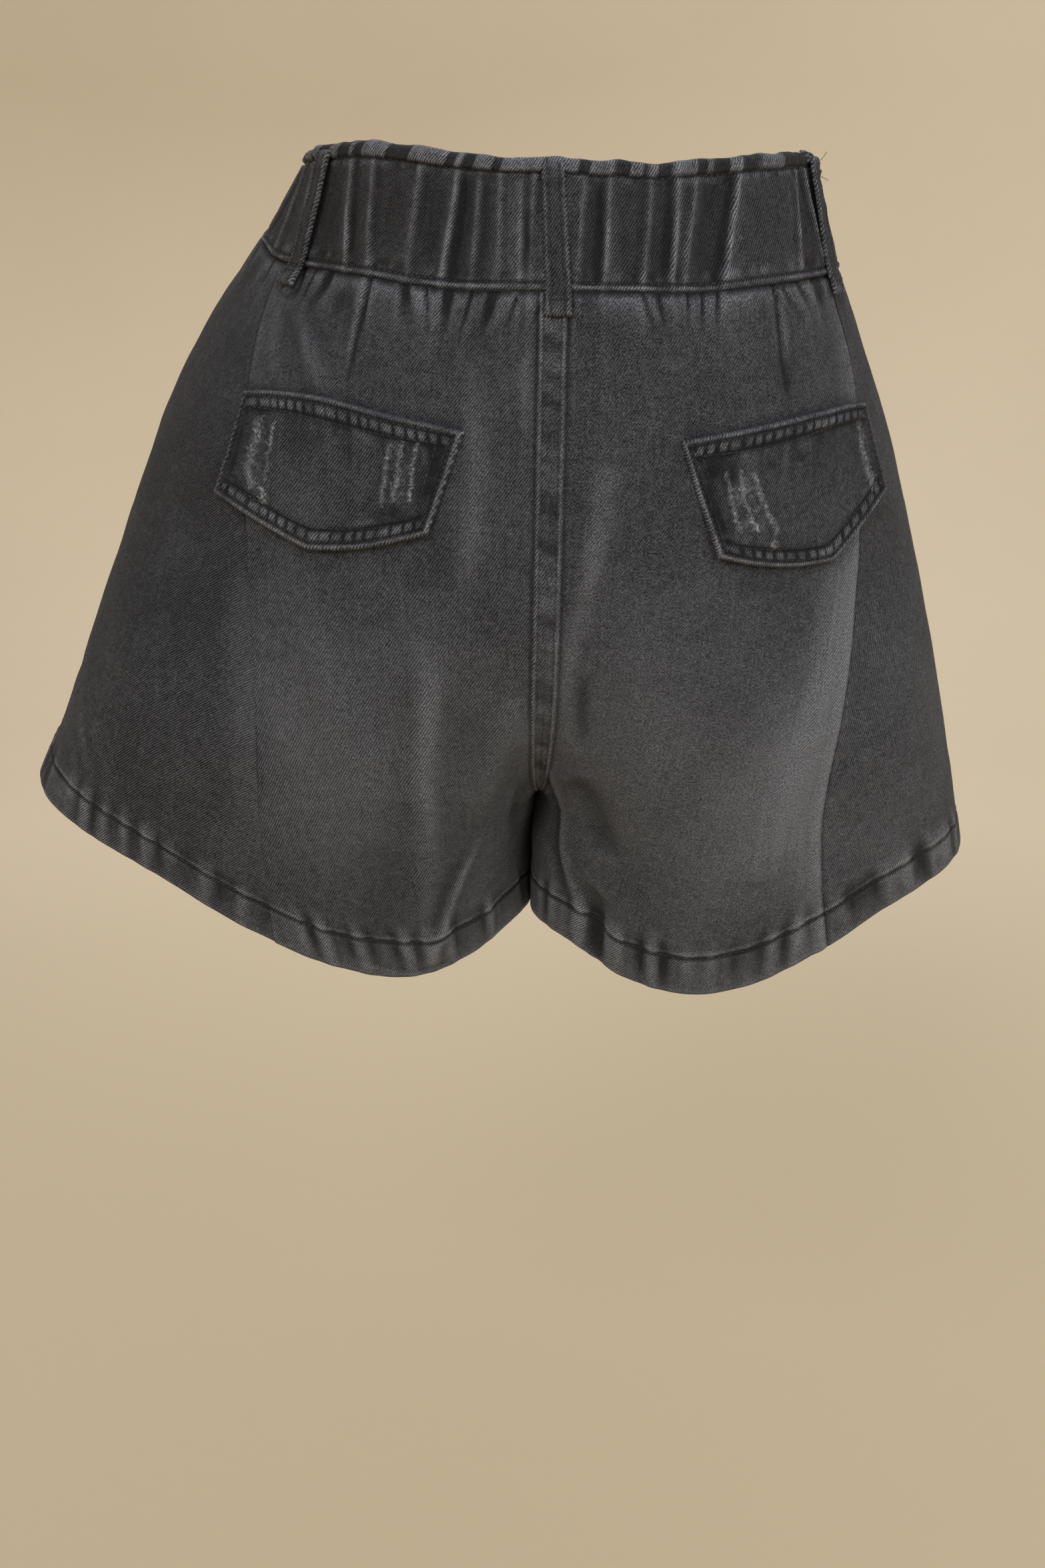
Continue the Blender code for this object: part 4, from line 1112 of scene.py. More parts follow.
def panel_fields(half, face):
    """Everything about a panel's fine grid: base points, directions, distances and puckers."""
    hem_top = 1 - HEM_ROWS_TALL / PANEL_LENGTH
    even = np.linspace(0, hem_top, ROWS_ABOVE_HEM)
    even = even[(even < CROTCH_SPAN[0]) | (even > CROTCH_SPAN[1])]
    downs = np.sort(np.concatenate([even, CROTCH_ROWS, np.linspace(hem_top, 1, ROWS_IN_HEM)[1:]]))
    parts = spaced(0, (EDGE_PART, COLUMNS_IN_EDGE), (1 - EDGE_PART, COLUMNS[face]), (1, COLUMNS_IN_EDGE))
    base, directions, around = [], [], []
    for down in downs:
        places = row_places(half, face, down, parts)
        points, ways = panel_base(half, down, places), outward(panel_base, half, down, places)
        if down == 0:
            points[:, 2] -= WAIST_GAP / 2
        ways[:, 2] *= min(1.0, down * PANEL_LENGTH / LEVEL_REACH)
        at_edge = np.minimum(places, 1 - places) < NEARBY / 4
        ways[at_edge] = turned_flat(ways[at_edge], 0 if down < CROTCH_DOWN else 1)
        base.append(points)
        directions.append(unit(ways))
        around.append(places)
    base, directions, around = np.array(base), np.array(directions), np.array(around)
    length = np.array([ring_length(half, down) for down in downs])[:, None]
    seam = np.array([side_seam_around(half, down) for down in downs])[:, None]
    down = np.repeat(downs[:, None], len(parts), axis=1)
    above = down < CROTCH_DOWN
    across, from_front = around * length, (1 - around) * length
    sign = HALVES[half]["sign"]
    off_centre = np.abs(base[..., 0] - centre_x(down))
    inner, near = 1 - step_up(off_centre, 0.065, 0.05), 1 - step_up(off_centre, 0.020, 0.036)
    closing = (leg_gap(down) - LEGS_APART) * (down > CROTCH_DOWN) * near
    closing += CENTRE_CLOSE * bump(np.minimum(across, from_front), 0, 0.003) * above
    base[..., 0] += LEG_BEND * inner * bump(base[..., 1], 0.040, 0.040) * step_up(down, 0.82, 0.08)
    base[..., 0] -= sign * closing
    down_m, side = down * PANEL_LENGTH, (around - seam) * length
    centre = across if face == "back" else from_front
    f = SimpleNamespace(
        base=base, directions=directions, parts=parts, downs=downs, down=down, down_m=down_m,
        from_hem=PANEL_LENGTH - down_m, around=around, length=length, side=side, centre=centre,
        ring=np.abs(side), above=above, clear=np.interp(down, *zip(*SIDE_SEAMS[half])),
        ladder=wobble(down_m + 0.4 * sign * centre, LADDER_PITCH, LADDER_SEED),
    )
    f.shown = hidden_share(half, face, f.ring)
    f.puckers = waist_puckers(half, face, f)
    return f


def seed_of(start, half, face):
    """The first number for a panel's random patterns, another one for each panel."""
    return start + (20 if half == "right" else 0) + (5 if face == "front" else 0)


def hidden_share(half, face, ring):
    """The front panels take the listed marks and creases only away from the side seam.

    On the left they also take what runs close to that seam, which hardly shows there.
    """
    if face == "back":
        return 1.0
    beside = 1 - step_up(ring, 0.012, 0.022) if half == "left" else 0.0
    return beside + step_up(ring, 0.115, 0.03)


def waist_puckers(half, face, f):
    """The uneven puckers under the waist seam, from -1 in a narrow pit to 1 on a crest."""
    seed = seed_of(210, half, face)
    slant = 0.10 + 0.50 * wobble(f.ring, 0.022, seed + 3)
    pit = bump(wobble(f.ring + slant * f.down_m, 0.0080, seed), 0, 0.22)
    near = (0.42 - 1.35 * pit) * bump(f.down_m, 0, 0.013)
    far = wobble(f.ring - 0.35 * f.down_m, 0.0150, seed + 1) * bump(f.down_m, 0, 0.028)
    much = 0.75 + 0.50 * wobble(f.ring, 0.030, seed + 2)
    return np.clip((near + 0.65 * far) * much, -1, 1)


def fine_form(half, face, f):
    """Small creases, puckers, felled seams and the hem's step, all on the outside."""
    seed = seed_of(10, half, face)
    slant = f.ring + 0.15 * f.from_hem
    lift = 0.0006 * rumple(f.ring + 0.4 * f.down_m, f.down_m - 0.3 * f.ring, 0.045, seed)
    for number, (height, spacing) in enumerate(RUMPLES, 1):
        lift += height * rumple(f.ring, f.down_m, spacing, seed + number)
    near_hem = np.exp(-((np.maximum(f.from_hem - HEM_STITCH, 0) / 0.010) ** 1.4))
    near_hem *= 0.35 + 0.65 * np.clip(f.from_hem / HEM_STITCH, 0, 1)
    lift += 0.00110 * near_hem * wobble(slant, HEM_PULL, seed + 45)
    lift += 0.00060 * near_hem * wobble(f.ring - 0.1 * f.from_hem, 0.0150, seed + 46)
    lift += PUCKER_HEIGHT * f.puckers + 0.0004 * step_up(-f.from_hem, -HEM_STITCH, 0.002)
    patterns = {
        "beads": 0.6 + 0.4 * wobble(f.ring, 0.0038, seed + 13),
        "ropes": 0.6 + 0.5 * wobble(slant, 0.0045, seed + 10),
        "rolled": f.clear * (1 + wobble(f.down_m, 0.0045, seed + 8) / 3),
        "above": f.above, "clear": f.clear,
    }
    lift += soft_lines(UNDER_FELL, "lift", vars(f), patterns)
    for height, width, points in CREASES[half]:
        lift += height * f.shown * stroke(f.ring, f.down_m, points, width)
    if face == "back":
        felled = (1 - step_up(f.centre, FELL_WIDTH, 0.0012)) * f.above
        lift = lift * (1 - 0.6 * felled) + felled * (FELL_HEIGHT + 0.00030 * f.ladder)
        head, point, long = DARTS[half]
        line = head + (point - head) * np.clip(f.down_m / long, 0, 1)
        depth = DART_DEPTH * np.clip(1 - f.down_m / long, 0, 1)
        lift += depth * (0.6 * bump(f.centre, line + 0.0036, 0.0020) - bump(f.centre, line, 0.0020))
    return lift + soft_lines(PANEL_LINES["both"] + PANEL_LINES[face], "lift", vars(f), patterns)


def panel_masks(half, face, f, whole):
    """What the cloth's material reads: worn, dark (mostly painted shade) and faded places, and the
    grain's coarseness.
    """
    seed, look = seed_of(50, half, face), SimpleNamespace(**LOOKS[half])
    # Wear on the waist puckers' crests, and painted shade in their pits
    wear, dark = 0.40 * hills(f.puckers) * bump(f.down_m, 0, 0.012), 0.62 * pits(f.puckers)
    sewn = np.exp(-f.down_m / 0.016) + np.exp(-np.maximum(f.from_hem - 0.030, 0) / 0.008)
    sewn = np.clip(sewn, 0, 1)
    for turns, full, wear_plain, wear_sewn, dark_plain, dark_sewn in RELIEF:
        raised = (whole - blurred(whole, turns)) / full
        wear += hills(raised) * (wear_plain + wear_sewn * sewn)
        dark += pits(raised) * (dark_plain + dark_sewn * sewn)
    fade = PLAIN_FADE - look.front_loss * step_up(f.side, 0.005, 0.05)
    fade += look.low_gain * step_up(f.down, 0.50, 0.35) + 0.17 * np.exp(-((f.from_hem / 0.028) ** 4))
    if face == "back":
        fade += 0.15 * step_up(f.down, 0.50, 0.40) * bump(f.centre, 0, 0.075)
        # The felled seam's puckers: wear on their crests, painted shade in their troughs
        ladder = f.ladder * (f.centre < FELL_WIDTH - 0.0012) * f.above
        wear += 0.26 * hills(ladder)
        dark += 0.62 * pits(ladder)
        # A painted shadow just above each flap's top edge
        flap_top = [place for name, *place in FLAPS[half] if name.endswith("top")]
        dark += 0.55 * stroke(f.centre, f.down_m + 0.0020, flap_top, 0.0030, 0.02)
    else:
        width, strength, points = THIGH_FADE
        fade += strength * stroke(f.ring, f.down_m, points, width)
    # The hem's slanted pulls: wear on their crests, painted shade in their troughs
    pulls = wobble(f.ring + 0.15 * f.from_hem, HEM_PULL, seed + 5)
    pulls += 0.5 * wobble(f.ring, 0.0170, seed + 6)
    near = bump(f.from_hem, HEM_STITCH, np.where(f.from_hem < HEM_STITCH, 0.016, 0.007))
    wear += 0.30 * near * hills(pulls)
    dark += 0.60 * near * pits(pulls)
    dark += look.front_shade * step_up(f.side, 0.0, 0.05) * (1 - 0.7 * step_up(f.down, 0.65, 0.30))
    worn = look.seam_wear * f.clear
    ragged = worn * (0.75 + 0.35 * wobble(f.down_m, 0.0050, seed + 1))
    patterns = {
        "above": f.above, "broken": f.above * (0.70 + 0.45 * wobble(f.down_m, 0.0036, seed)),
        "worn": worn, "ragged": ragged, "shaded": look.seam_shade * f.clear,
        "streaked": ragged * (0.6 + 0.5 * wobble(f.side, 0.0016, seed + 4)),
        "spots": 0.65 + 0.45 * wobble(f.ring, 0.0040, seed + 2),
        "rubs": 0.7 + 0.4 * wobble(f.ring, 0.005, seed + 3),
    }
    marks = {}
    for kind in ("wear", "dark", "fade"):
        marks[kind] = soft_lines(PANEL_LINES["both"] + PANEL_LINES[face], kind, vars(f), patterns)
    threads = 0.50 * wobble(f.ring, 0.0020, seed + 7) + 0.16 * wobble(f.down_m, 0.0110, seed + 8)
    threads = 1 + look.threads * threads * bump(f.ring, 0, 0.030)
    for kind, width, strength, points in MARKS[half]:
        mark = strength * f.shown * stroke(f.ring, f.down_m, points, width)
        marks[kind] = marks[kind] + (mark * threads if kind == "fade" else mark)
    grain = look.grain + 0.35 * step_up(-f.side, 0.02, 0.06)
    grain *= 1 - 0.5 * step_up(-f.from_hem, -0.030, 0.01)
    return clipped(wear + marks["wear"], dark + marks["dark"], fade + marks["fade"], grain)


def clipped(wear, dark, fade, grain=0.25):
    masks = {"wear": wear, "dark": dark, "fade": fade, "grain": grain + 0 * wear}
    return {name: hills(mask) for name, mask in masks.items()}


def panel_flat(half, face, f):
    """The panel's flat cut: a coarse grid of it, and its values on the fine grid."""
    parts = np.linspace(0, 1, FLAT_COLUMNS[face])
    rows = []
    for down in np.linspace(0, 1, FLAT_ROWS):
        rows.append(panel_base(half, down, row_places(half, face, down, parts)))
    coarse = flattened(np.array(rows))
    if HALVES[half]["sign"] > 0:
        coarse[..., 0] *= -1
    return coarse, refined(coarse, f.down, np.repeat(f.parts[None], len(f.downs), axis=0))


GRIDS = {}


def make_panel(half, face):
    f = panel_fields(half, face)
    form, fine = panel_form(half, f.down, f.around, f.side, f.length), fine_form(half, face, f)
    cloth = CLOTH + (HEM_CLOTH - CLOTH) * step_up(f.down, HEM_DOWN, 0.006)
    outside = f.base + f.directions * (form + fine)[..., None]
    inside = f.base + f.directions * (form + INSIDE_PART * fine - cloth)[..., None]
    coarse, flat = panel_flat(half, face, f)
    masks = panel_masks(half, face, f, form + fine)
    name = f"{face}_panel_{half}"
    rims = (CENTRE_RIM, SIDE_RIM) if face == "back" else (SIDE_RIM, CENTRE_RIM)
    piece = wall_piece(
        "cloth_" + name, outside, inside, flat, masks, (0.0, HEM_RIM, *rims), half == "right",
        DENIM, True,
    )
    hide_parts(name)
    GRIDS[name] = (f, outside, f.directions)


# Waistband

BAND_TALL = 0.0625
BAND_SEAM = 0.930           # parts of the band's height down to its lower stitching
BAND_RIDGE = 0.964          # and to the ridge below it
BAND_COLUMNS = {"back": 601, "front": 521}
BAND_RIM = 0.0010
BAND_INSIDE = 0.5           # of the fine form, that shows on the inside
# How plainly each crest shows, from the centre back to the side
CRESTS = {
    "left": (0.0, 0.50, 0.40, 0.35, 0.40, 0.95, 0.35, 0.60, 0.95, 0.60, 0.45),
    "right": (0.0, 0.40, 0.90, 0.50, 0.90, 0.40, 0.90, 0.55, 0.50, 0.35),
}
GUESSED_CREST = 0.5         # on the sides, past the last crest that shows
# What the gathers pull up beside the stitching, and the lines round the band. Columns: kind,
# measured from (the height is in parts of the band's), at, half width, amount, pattern
# The dark rows are painted shade in the low places beside the stitching.
BAND_PULLS = (
    ("lift", "height", FRILL_PART + 0.040, 0.030, 0.0006, "heads"),
    ("wear", "height", FRILL_PART + 0.040, 0.030, 0.30, "raised_heads"),
    ("dark", "height", FRILL_PART + 0.040, 0.030, 0.30, "low_heads"),
    ("lift", "height", BAND_SEAM - 0.055, 0.040, 0.0007, "feet"),
    ("wear", "height", BAND_SEAM - 0.055, 0.040, 0.45, "raised_feet"),
    ("dark", "height", BAND_SEAM - 0.055, 0.040, 0.45, "low_feet"),
)
# The dark lines are painted shade in the stitching grooves and at the band's lower edge.
BAND_LINES = (
    ("lift", "height", 0.0, 0.015, -0.0010, "even"),
    ("lift", "height", FRILL_PART, 0.012, -0.0014, "even"),
    ("lift", "height", BAND_SEAM, 0.009, -0.0009, "even"),
    ("lift", "height", BAND_RIDGE, 0.015, 0.0006, "knots"),
    ("lift", "height", 1.0, 0.010, -0.0008, "even"),
    ("wear", "height", 0.0, 0.020, 0.20, "blocks"),
    ("wear", "height", BAND_RIDGE, 0.011, 0.95, "spots"),
    ("dark", "height", FRILL_PART, 0.011, 0.75, "even"),
    ("dark", "height", BAND_SEAM, 0.009, 0.80, "even"),
    ("dark", "height", 0.998, 0.008, 0.60, "even"),
)


def band_grid(face):
    seam_left, seam_right = (side_seam_around(half, 0) for half in ("left", "right"))
    gap = CUT_GAP / 2 / ring_length("left", 0)
    if face == "back":
        places = np.linspace(-seam_right + gap, seam_left - gap, BAND_COLUMNS[face])
    else:
        turned = np.linspace(seam_left + gap, 2 - seam_right - gap, BAND_COLUMNS[face])
        places = np.where(turned > 1, turned - 2, turned)
    heights = spaced(0, (0.03, 4), (0.20, 16), (0.84, 18), (1.0, 16))
    base = np.array([on_ring(band_base, h, places) for h in heights])
    directions = np.array([on_ring(band_directions, h, places) for h in heights])
    hollow = np.array([on_ring(gather_depth, h, places) for h in heights])
    return places, heights, base, directions, hollow


def crests(places, heights, length):
    """Distance past every crest, towards the front, with its clearness and a number for it."""
    found = []
    for sign, half in ((1, "left"), (-1, "right")):
        other = np.sign(places)[None] * sign < 0
        clearness = CRESTS[half] + (GUESSED_CREST,) + CRESTS[OTHER[half]][::-1]
        for number, (row, clear) in enumerate(zip(gather_rows(half), clearness)):
            if clear:
                crest = row[0] + row[1] * (heights - 0.5)
                off = (np.abs(places)[None] - crest[:, None]) * length
                found.append((np.where(other, FAR_OFF, off), clear, number + sign))
    return found


def make_band(face):
    places, heights, base, directions, hollow = band_grid(face)
    length = ring_length("left", 0)
    x, h = np.meshgrid(places * length, heights)
    seed = 90 if face == "back" else 95
    below_frill = np.clip((h - FRILL_PART) / (BAND_SEAM - FRILL_PART), 0, 1)
    middle = np.sin(math.pi * below_frill) ** 0.35
    fine = 0.0005 * wobble(x - 0.006 * (h - 0.5), 0.0070, seed + 1) * (0.30 + 0.7 * middle)
    fine += 0.00025 * wobble(x - 0.006 * (h - 0.5) + 0.004 * h, 0.0028, seed + 2)
    fine += 0.00012 * rumple(x, h * BAND_TALL, 0.006, seed + 6)
    # Painted shade in the troughs between the gathers
    wear, dark = np.zeros_like(x), 0.70 * hills(hollow / 0.0030) ** 0.8
    for off, clear, number in crests(places, heights, length):
        off = off + 0.0005 * np.sin(5 * h + number) * middle
        uneven = clear * (0.75 + 0.35 * wobble(h + 0.37 * number, 0.16, seed + 12))
        raised = 0.0011 * bump(off, 0.0002, 0.0015) - 0.0005 * bump(off, -0.0042, 0.0022)
        fine += uneven * middle * raised
        ridge = bump(off, 0.0004, 0.0017)
        wear += uneven * (0.35 + 0.95 * middle) * ridge
        # Painted light on each crest's front flank, painted shade in the trough behind it
        wear += 0.25 * uneven * middle * bump(off, 0.0042, 0.0030)
        dark *= 1 - 0.85 * hills(uneven) * ridge
        dark += uneven * (0.35 + 0.75 * middle) * bump(off, -0.0038, 0.0022)
    frill = step_up(-h, -FRILL_PART + 0.006, 0.014)
    blocks = step_up(wobble(x - 0.020 * h, 0.0056, seed + 3), -0.10, 0.40)
    puffed = np.sin(math.pi * np.clip(h / FRILL_PART, 0, 1)) ** 0.6
    fine = fine * (1 - 0.7 * frill) + 0.0009 * frill * (blocks + puffed)
    wear += 0.50 * frill * blocks
    # Painted shade between the frill's puffed blocks
    dark = dark * (1 - 0.7 * frill) + 0.70 * frill * (1 - blocks)
    heads, feet = wobble(x, 0.0040, seed + 4), wobble(x - 0.02 * h, 0.0044, seed + 11)
    spots = 0.35 + 0.9 * wobble(x, 0.0110, seed + 7) + 0.4 * wobble(x, 0.0035, seed + 9)
    spots = np.clip(spots, 0.02, 1.2)
    patterns = {
        "heads": heads, "raised_heads": hills(heads + 0.3), "low_heads": pits(heads),
        "feet": feet, "raised_feet": hills(feet + 0.2), "low_feet": pits(feet),
        "blocks": blocks, "spots": spots, "knots": 0.6 + 0.4 * spots,
    }
    at = {"height": h}
    fine += soft_lines(BAND_PULLS + BAND_LINES, "lift", at, patterns)
    wear += soft_lines(BAND_PULLS + BAND_LINES, "wear", at, patterns)
    # Painted shade from the tables' dark rows, taken off the ridge below the stitching
    dark += soft_lines(BAND_PULLS, "dark", at, patterns)
    dark = dark * (1 - 0.8 * bump(h, BAND_RIDGE, 0.011)) + soft_lines(BAND_LINES, "dark", at, patterns)
    wear += 0.12 * hills((fine - blurred(fine, 8)) / 0.00030)
    fade = 0.10 + 0.05 * wobble(x, 0.03, seed + 8)
    rough_top = 0.0004 * wobble(x, 0.0070, seed + 13) + 0.0010 * wobble(x, 0.0170, seed + 10)
    base[..., 2] += rough_top * step_up(-h, -0.10, 0.12)
    outside = base + directions * (fine - hollow)[..., None]
    inside = base + directions * (BAND_INSIDE * fine - hollow - BAND_CLOTH)[..., None]
    run = lengths_along(outside[len(heights) // 2])
    flat = np.stack([np.repeat(-run[None], len(heights), axis=0), -h * BAND_TALL], -1)
    piece = wall_piece(
        "cloth_waistband_" + face, outside, inside, flat, clipped(wear, dark, fade),
        (BAND_RIM, 0.0, 0.0, 0.0), False, DENIM, True,
    )
    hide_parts("waistband_" + face)
    GRIDS["band_" + face] = (SimpleNamespace(heights=heights), outside, directions)


# Flaps

# Worn streaks on the flaps. Columns: width, strength, points (from the centre back, down)
FLAP_STREAKS = {
    "left": (
        (0.0022, 0.60, ((0.156, 0.076), (0.160, 0.092), (0.161, 0.104), (0.157, 0.113))),
        (0.0010, 0.75, ((0.147, 0.077), (0.149, 0.092), (0.149, 0.107))),
        (0.0018, 0.90, ((0.152, 0.109), (0.149, 0.117))),
        (0.0010, 0.75, ((0.079, 0.070), (0.082, 0.084), (0.084, 0.101))),
        (0.0010, 0.70, ((0.073, 0.070), (0.075, 0.082), (0.078, 0.099))),
        (0.0010, 0.75, ((0.065, 0.069), (0.068, 0.083), (0.069, 0.099))),
    ),
    "right": (
        (0.0010, 0.75, ((0.088, 0.082), (0.091, 0.096), (0.096, 0.112))),
        (0.0010, 0.80, ((0.096, 0.082), (0.098, 0.097), (0.106, 0.113))),
        (0.0012, 0.80, ((0.103, 0.083), (0.108, 0.098), (0.118, 0.116))),
        (0.0020, 0.85, ((0.114, 0.118), (0.116, 0.122))),
        (0.0022, 0.55, ((0.179, 0.078), (0.178, 0.095), (0.187, 0.120))),
    ),
}
# Torn zones round the streaks, in the same columns
FLAP_LADDERS = {
    "left": (
        (0.0055, 0.40, ((0.158, 0.078), (0.158, 0.114))),
        (0.0065, 0.20, ((0.073, 0.071), (0.076, 0.101))),
    ),
    "right": (
        (0.0075, 0.38, ((0.095, 0.084), (0.107, 0.114))),
        (0.0045, 0.35, ((0.179, 0.080), (0.184, 0.118))),
    ),
}
# Unfaded patches on the flaps, in the same columns
FLAP_SHADES = {
    "left": (
        (0.0055, 0.60, ((0.056, 0.066), (0.062, 0.104))),
        (0.0032, 0.60, ((0.090, 0.106), (0.066, 0.102))),
        (0.0030, 0.40, ((0.168, 0.080), (0.172, 0.110), (0.160, 0.118))),
        (0.0025, 0.35, ((0.100, 0.076), (0.104, 0.086))),
        (0.0025, 0.30, ((0.120, 0.074), (0.122, 0.086))),
    ),
    "right": (
        (0.0060, 0.60, ((0.072, 0.083), (0.098, 0.082))),
        (0.0040, 0.45, ((0.076, 0.086), (0.090, 0.116))),
        (0.0030, 0.50, ((0.109, 0.080), (0.118, 0.083))),
        (0.0030, 0.45, ((0.127, 0.080), (0.136, 0.086))),
        (0.0035, 0.35, ((0.150, 0.092), (0.156, 0.110))),
    ),
}
# Lines round a flap. Columns: kind, measured from, at, half width, amount, pattern. edge is the
# nearest edge, level the nearer of top and bottom, side the nearer of inner and outer side
# The dark lines are painted shade in the stitching grooves, between the beads and in the pulled places.
FLAP_LINES = (
    ("lift", "edge", 0.0010, 0.0012, 0.0009, "rope"),
    ("lift", "edge", 0.0, 0.0008, -0.0009, "even"),
    ("lift", "edge", 0.0030, 0.0009, -0.0007, "even"),
    ("lift", "level", 0.0092, 0.0010, -0.0006, "rows"),
    ("lift", "level", 0.0063, 0.0024, 0.0007, "beads"),
    ("lift", "level", 0.0063, 0.0024, -0.0002, "rows"),
    ("lift", "top", 0.0125, 0.0045, 0.0003, "pulls"),
    ("wear", "edge", 0.0009, 0.0011, 1.0, "worn_rope"),
    ("wear", "level", 0.0063, 0.0024, 0.52, "worn_beads"),
    ("wear", "level", 0.0125, 0.0016, 0.22, "crumbs"),
    ("dark", "edge", 0.0030, 0.0010, 0.95, "even"),
    ("dark", "level", 0.0063, 0.0024, 0.95, "gaps"),
    ("dark", "level", 0.0094, 0.0012, 1.0, "rows"),
    ("dark", "level", 0.0104, 0.0024, 0.45, "shadows"),
    ("dark", "top", 0.0125, 0.0045, 0.30, "pulled_in"),
    ("dark", "side", 0.0070, 0.0030, 0.40, "even"),
    ("bare", "edge", 0.0010, 0.0010, 0.25, "worn_rope"),
)
FLAP_RIM = 0.0008
FLAP_GRID = (15, 27)        # rows and columns of the places where the panel below is worked out


def flap_outline(half, u, v):
    """Places on the panel of a flap's points: u from its inner to its outer side, v down."""
    corner = {name: np.array(place) for name, *place in FLAPS[half]}
    t = np.asarray(u)[..., None]
    middle = 2 * corner["middle_top"] - (corner["inner_top"] + corner["outer_top"]) / 2
    top = (1 - t) ** 2 * corner["inner_top"] + 2 * t * (1 - t) * middle + t**2 * corner["outer_top"]
    first = corner["inner_bottom"] + 2 * t * (corner["point"] - corner["inner_bottom"])
    second = corner["point"] + (2 * t - 1) * (corner["outer_bottom"] - corner["point"])
    blunt = 0.5 * (1 + np.tanh((t - 0.5) / 0.028))
    bottom = first * (1 - blunt) + second * blunt
    return top + (bottom - top) * np.asarray(v)[..., None]


def panel_place(half, from_back, down_m):
    """Base point, direction and form of the panel at one place."""
    down = round(down_m / PANEL_LENGTH, 4)
    length = ring_length(half, down)
    around = np.array([from_back / length])
    base, direction = panel_base(half, down, around)[0], outward(panel_base, half, down, around)[0]
    past_seam = (around - side_seam_around(half, down)) * length
    return np.concatenate([base, direction, panel_form(half, down, around, past_seam, length)])


def flap_tears(half, x, y, seed):
    """What worn streaks, torn zones round them and unfaded patches add to the masks."""
    wear, dark, bare = np.zeros_like(x), np.zeros_like(x), np.zeros_like(x)
    wave = 0.0006 * wobble(y, 0.0045, seed + 9) + 0.0005 * wobble(y, 0.0019, seed + 12)
    broken = np.clip(0.75 + 0.9 * rumple(x, y, 0.0017, seed + 4), 0, 1.2)
    for thick, much, points in FLAP_STREAKS[half]:
        mask = stroke(x + wave, y, points, 1.05 * thick, 0.08)
        dark += 0.50 * stroke(x, y, points, 2.8 * thick, 0.15) * (1 - mask)
        wear += 0.5 * much * mask
        bare += 0.85 * much * broken * mask
    ladder = hills(0.25 + 1.1 * rumple(x / 2.5, y, 0.0013, seed + 13))
    for thick, much, points in FLAP_LADDERS[half]:
        zone = much * stroke(x + 2 * wave, y, points, thick, 0.15)
        bare += zone * ladder
        wear += 0.5 * zone
        dark += 0.5 * zone * (1 - ladder)
    mottled = 0.8 + 0.4 * rumple(x, y, 0.004, seed + 14)
    for thick, much, points in FLAP_SHADES[half]:
        dark += 1.5 * much * stroke(x, y, points, thick) * mottled
    return wear, dark, bare


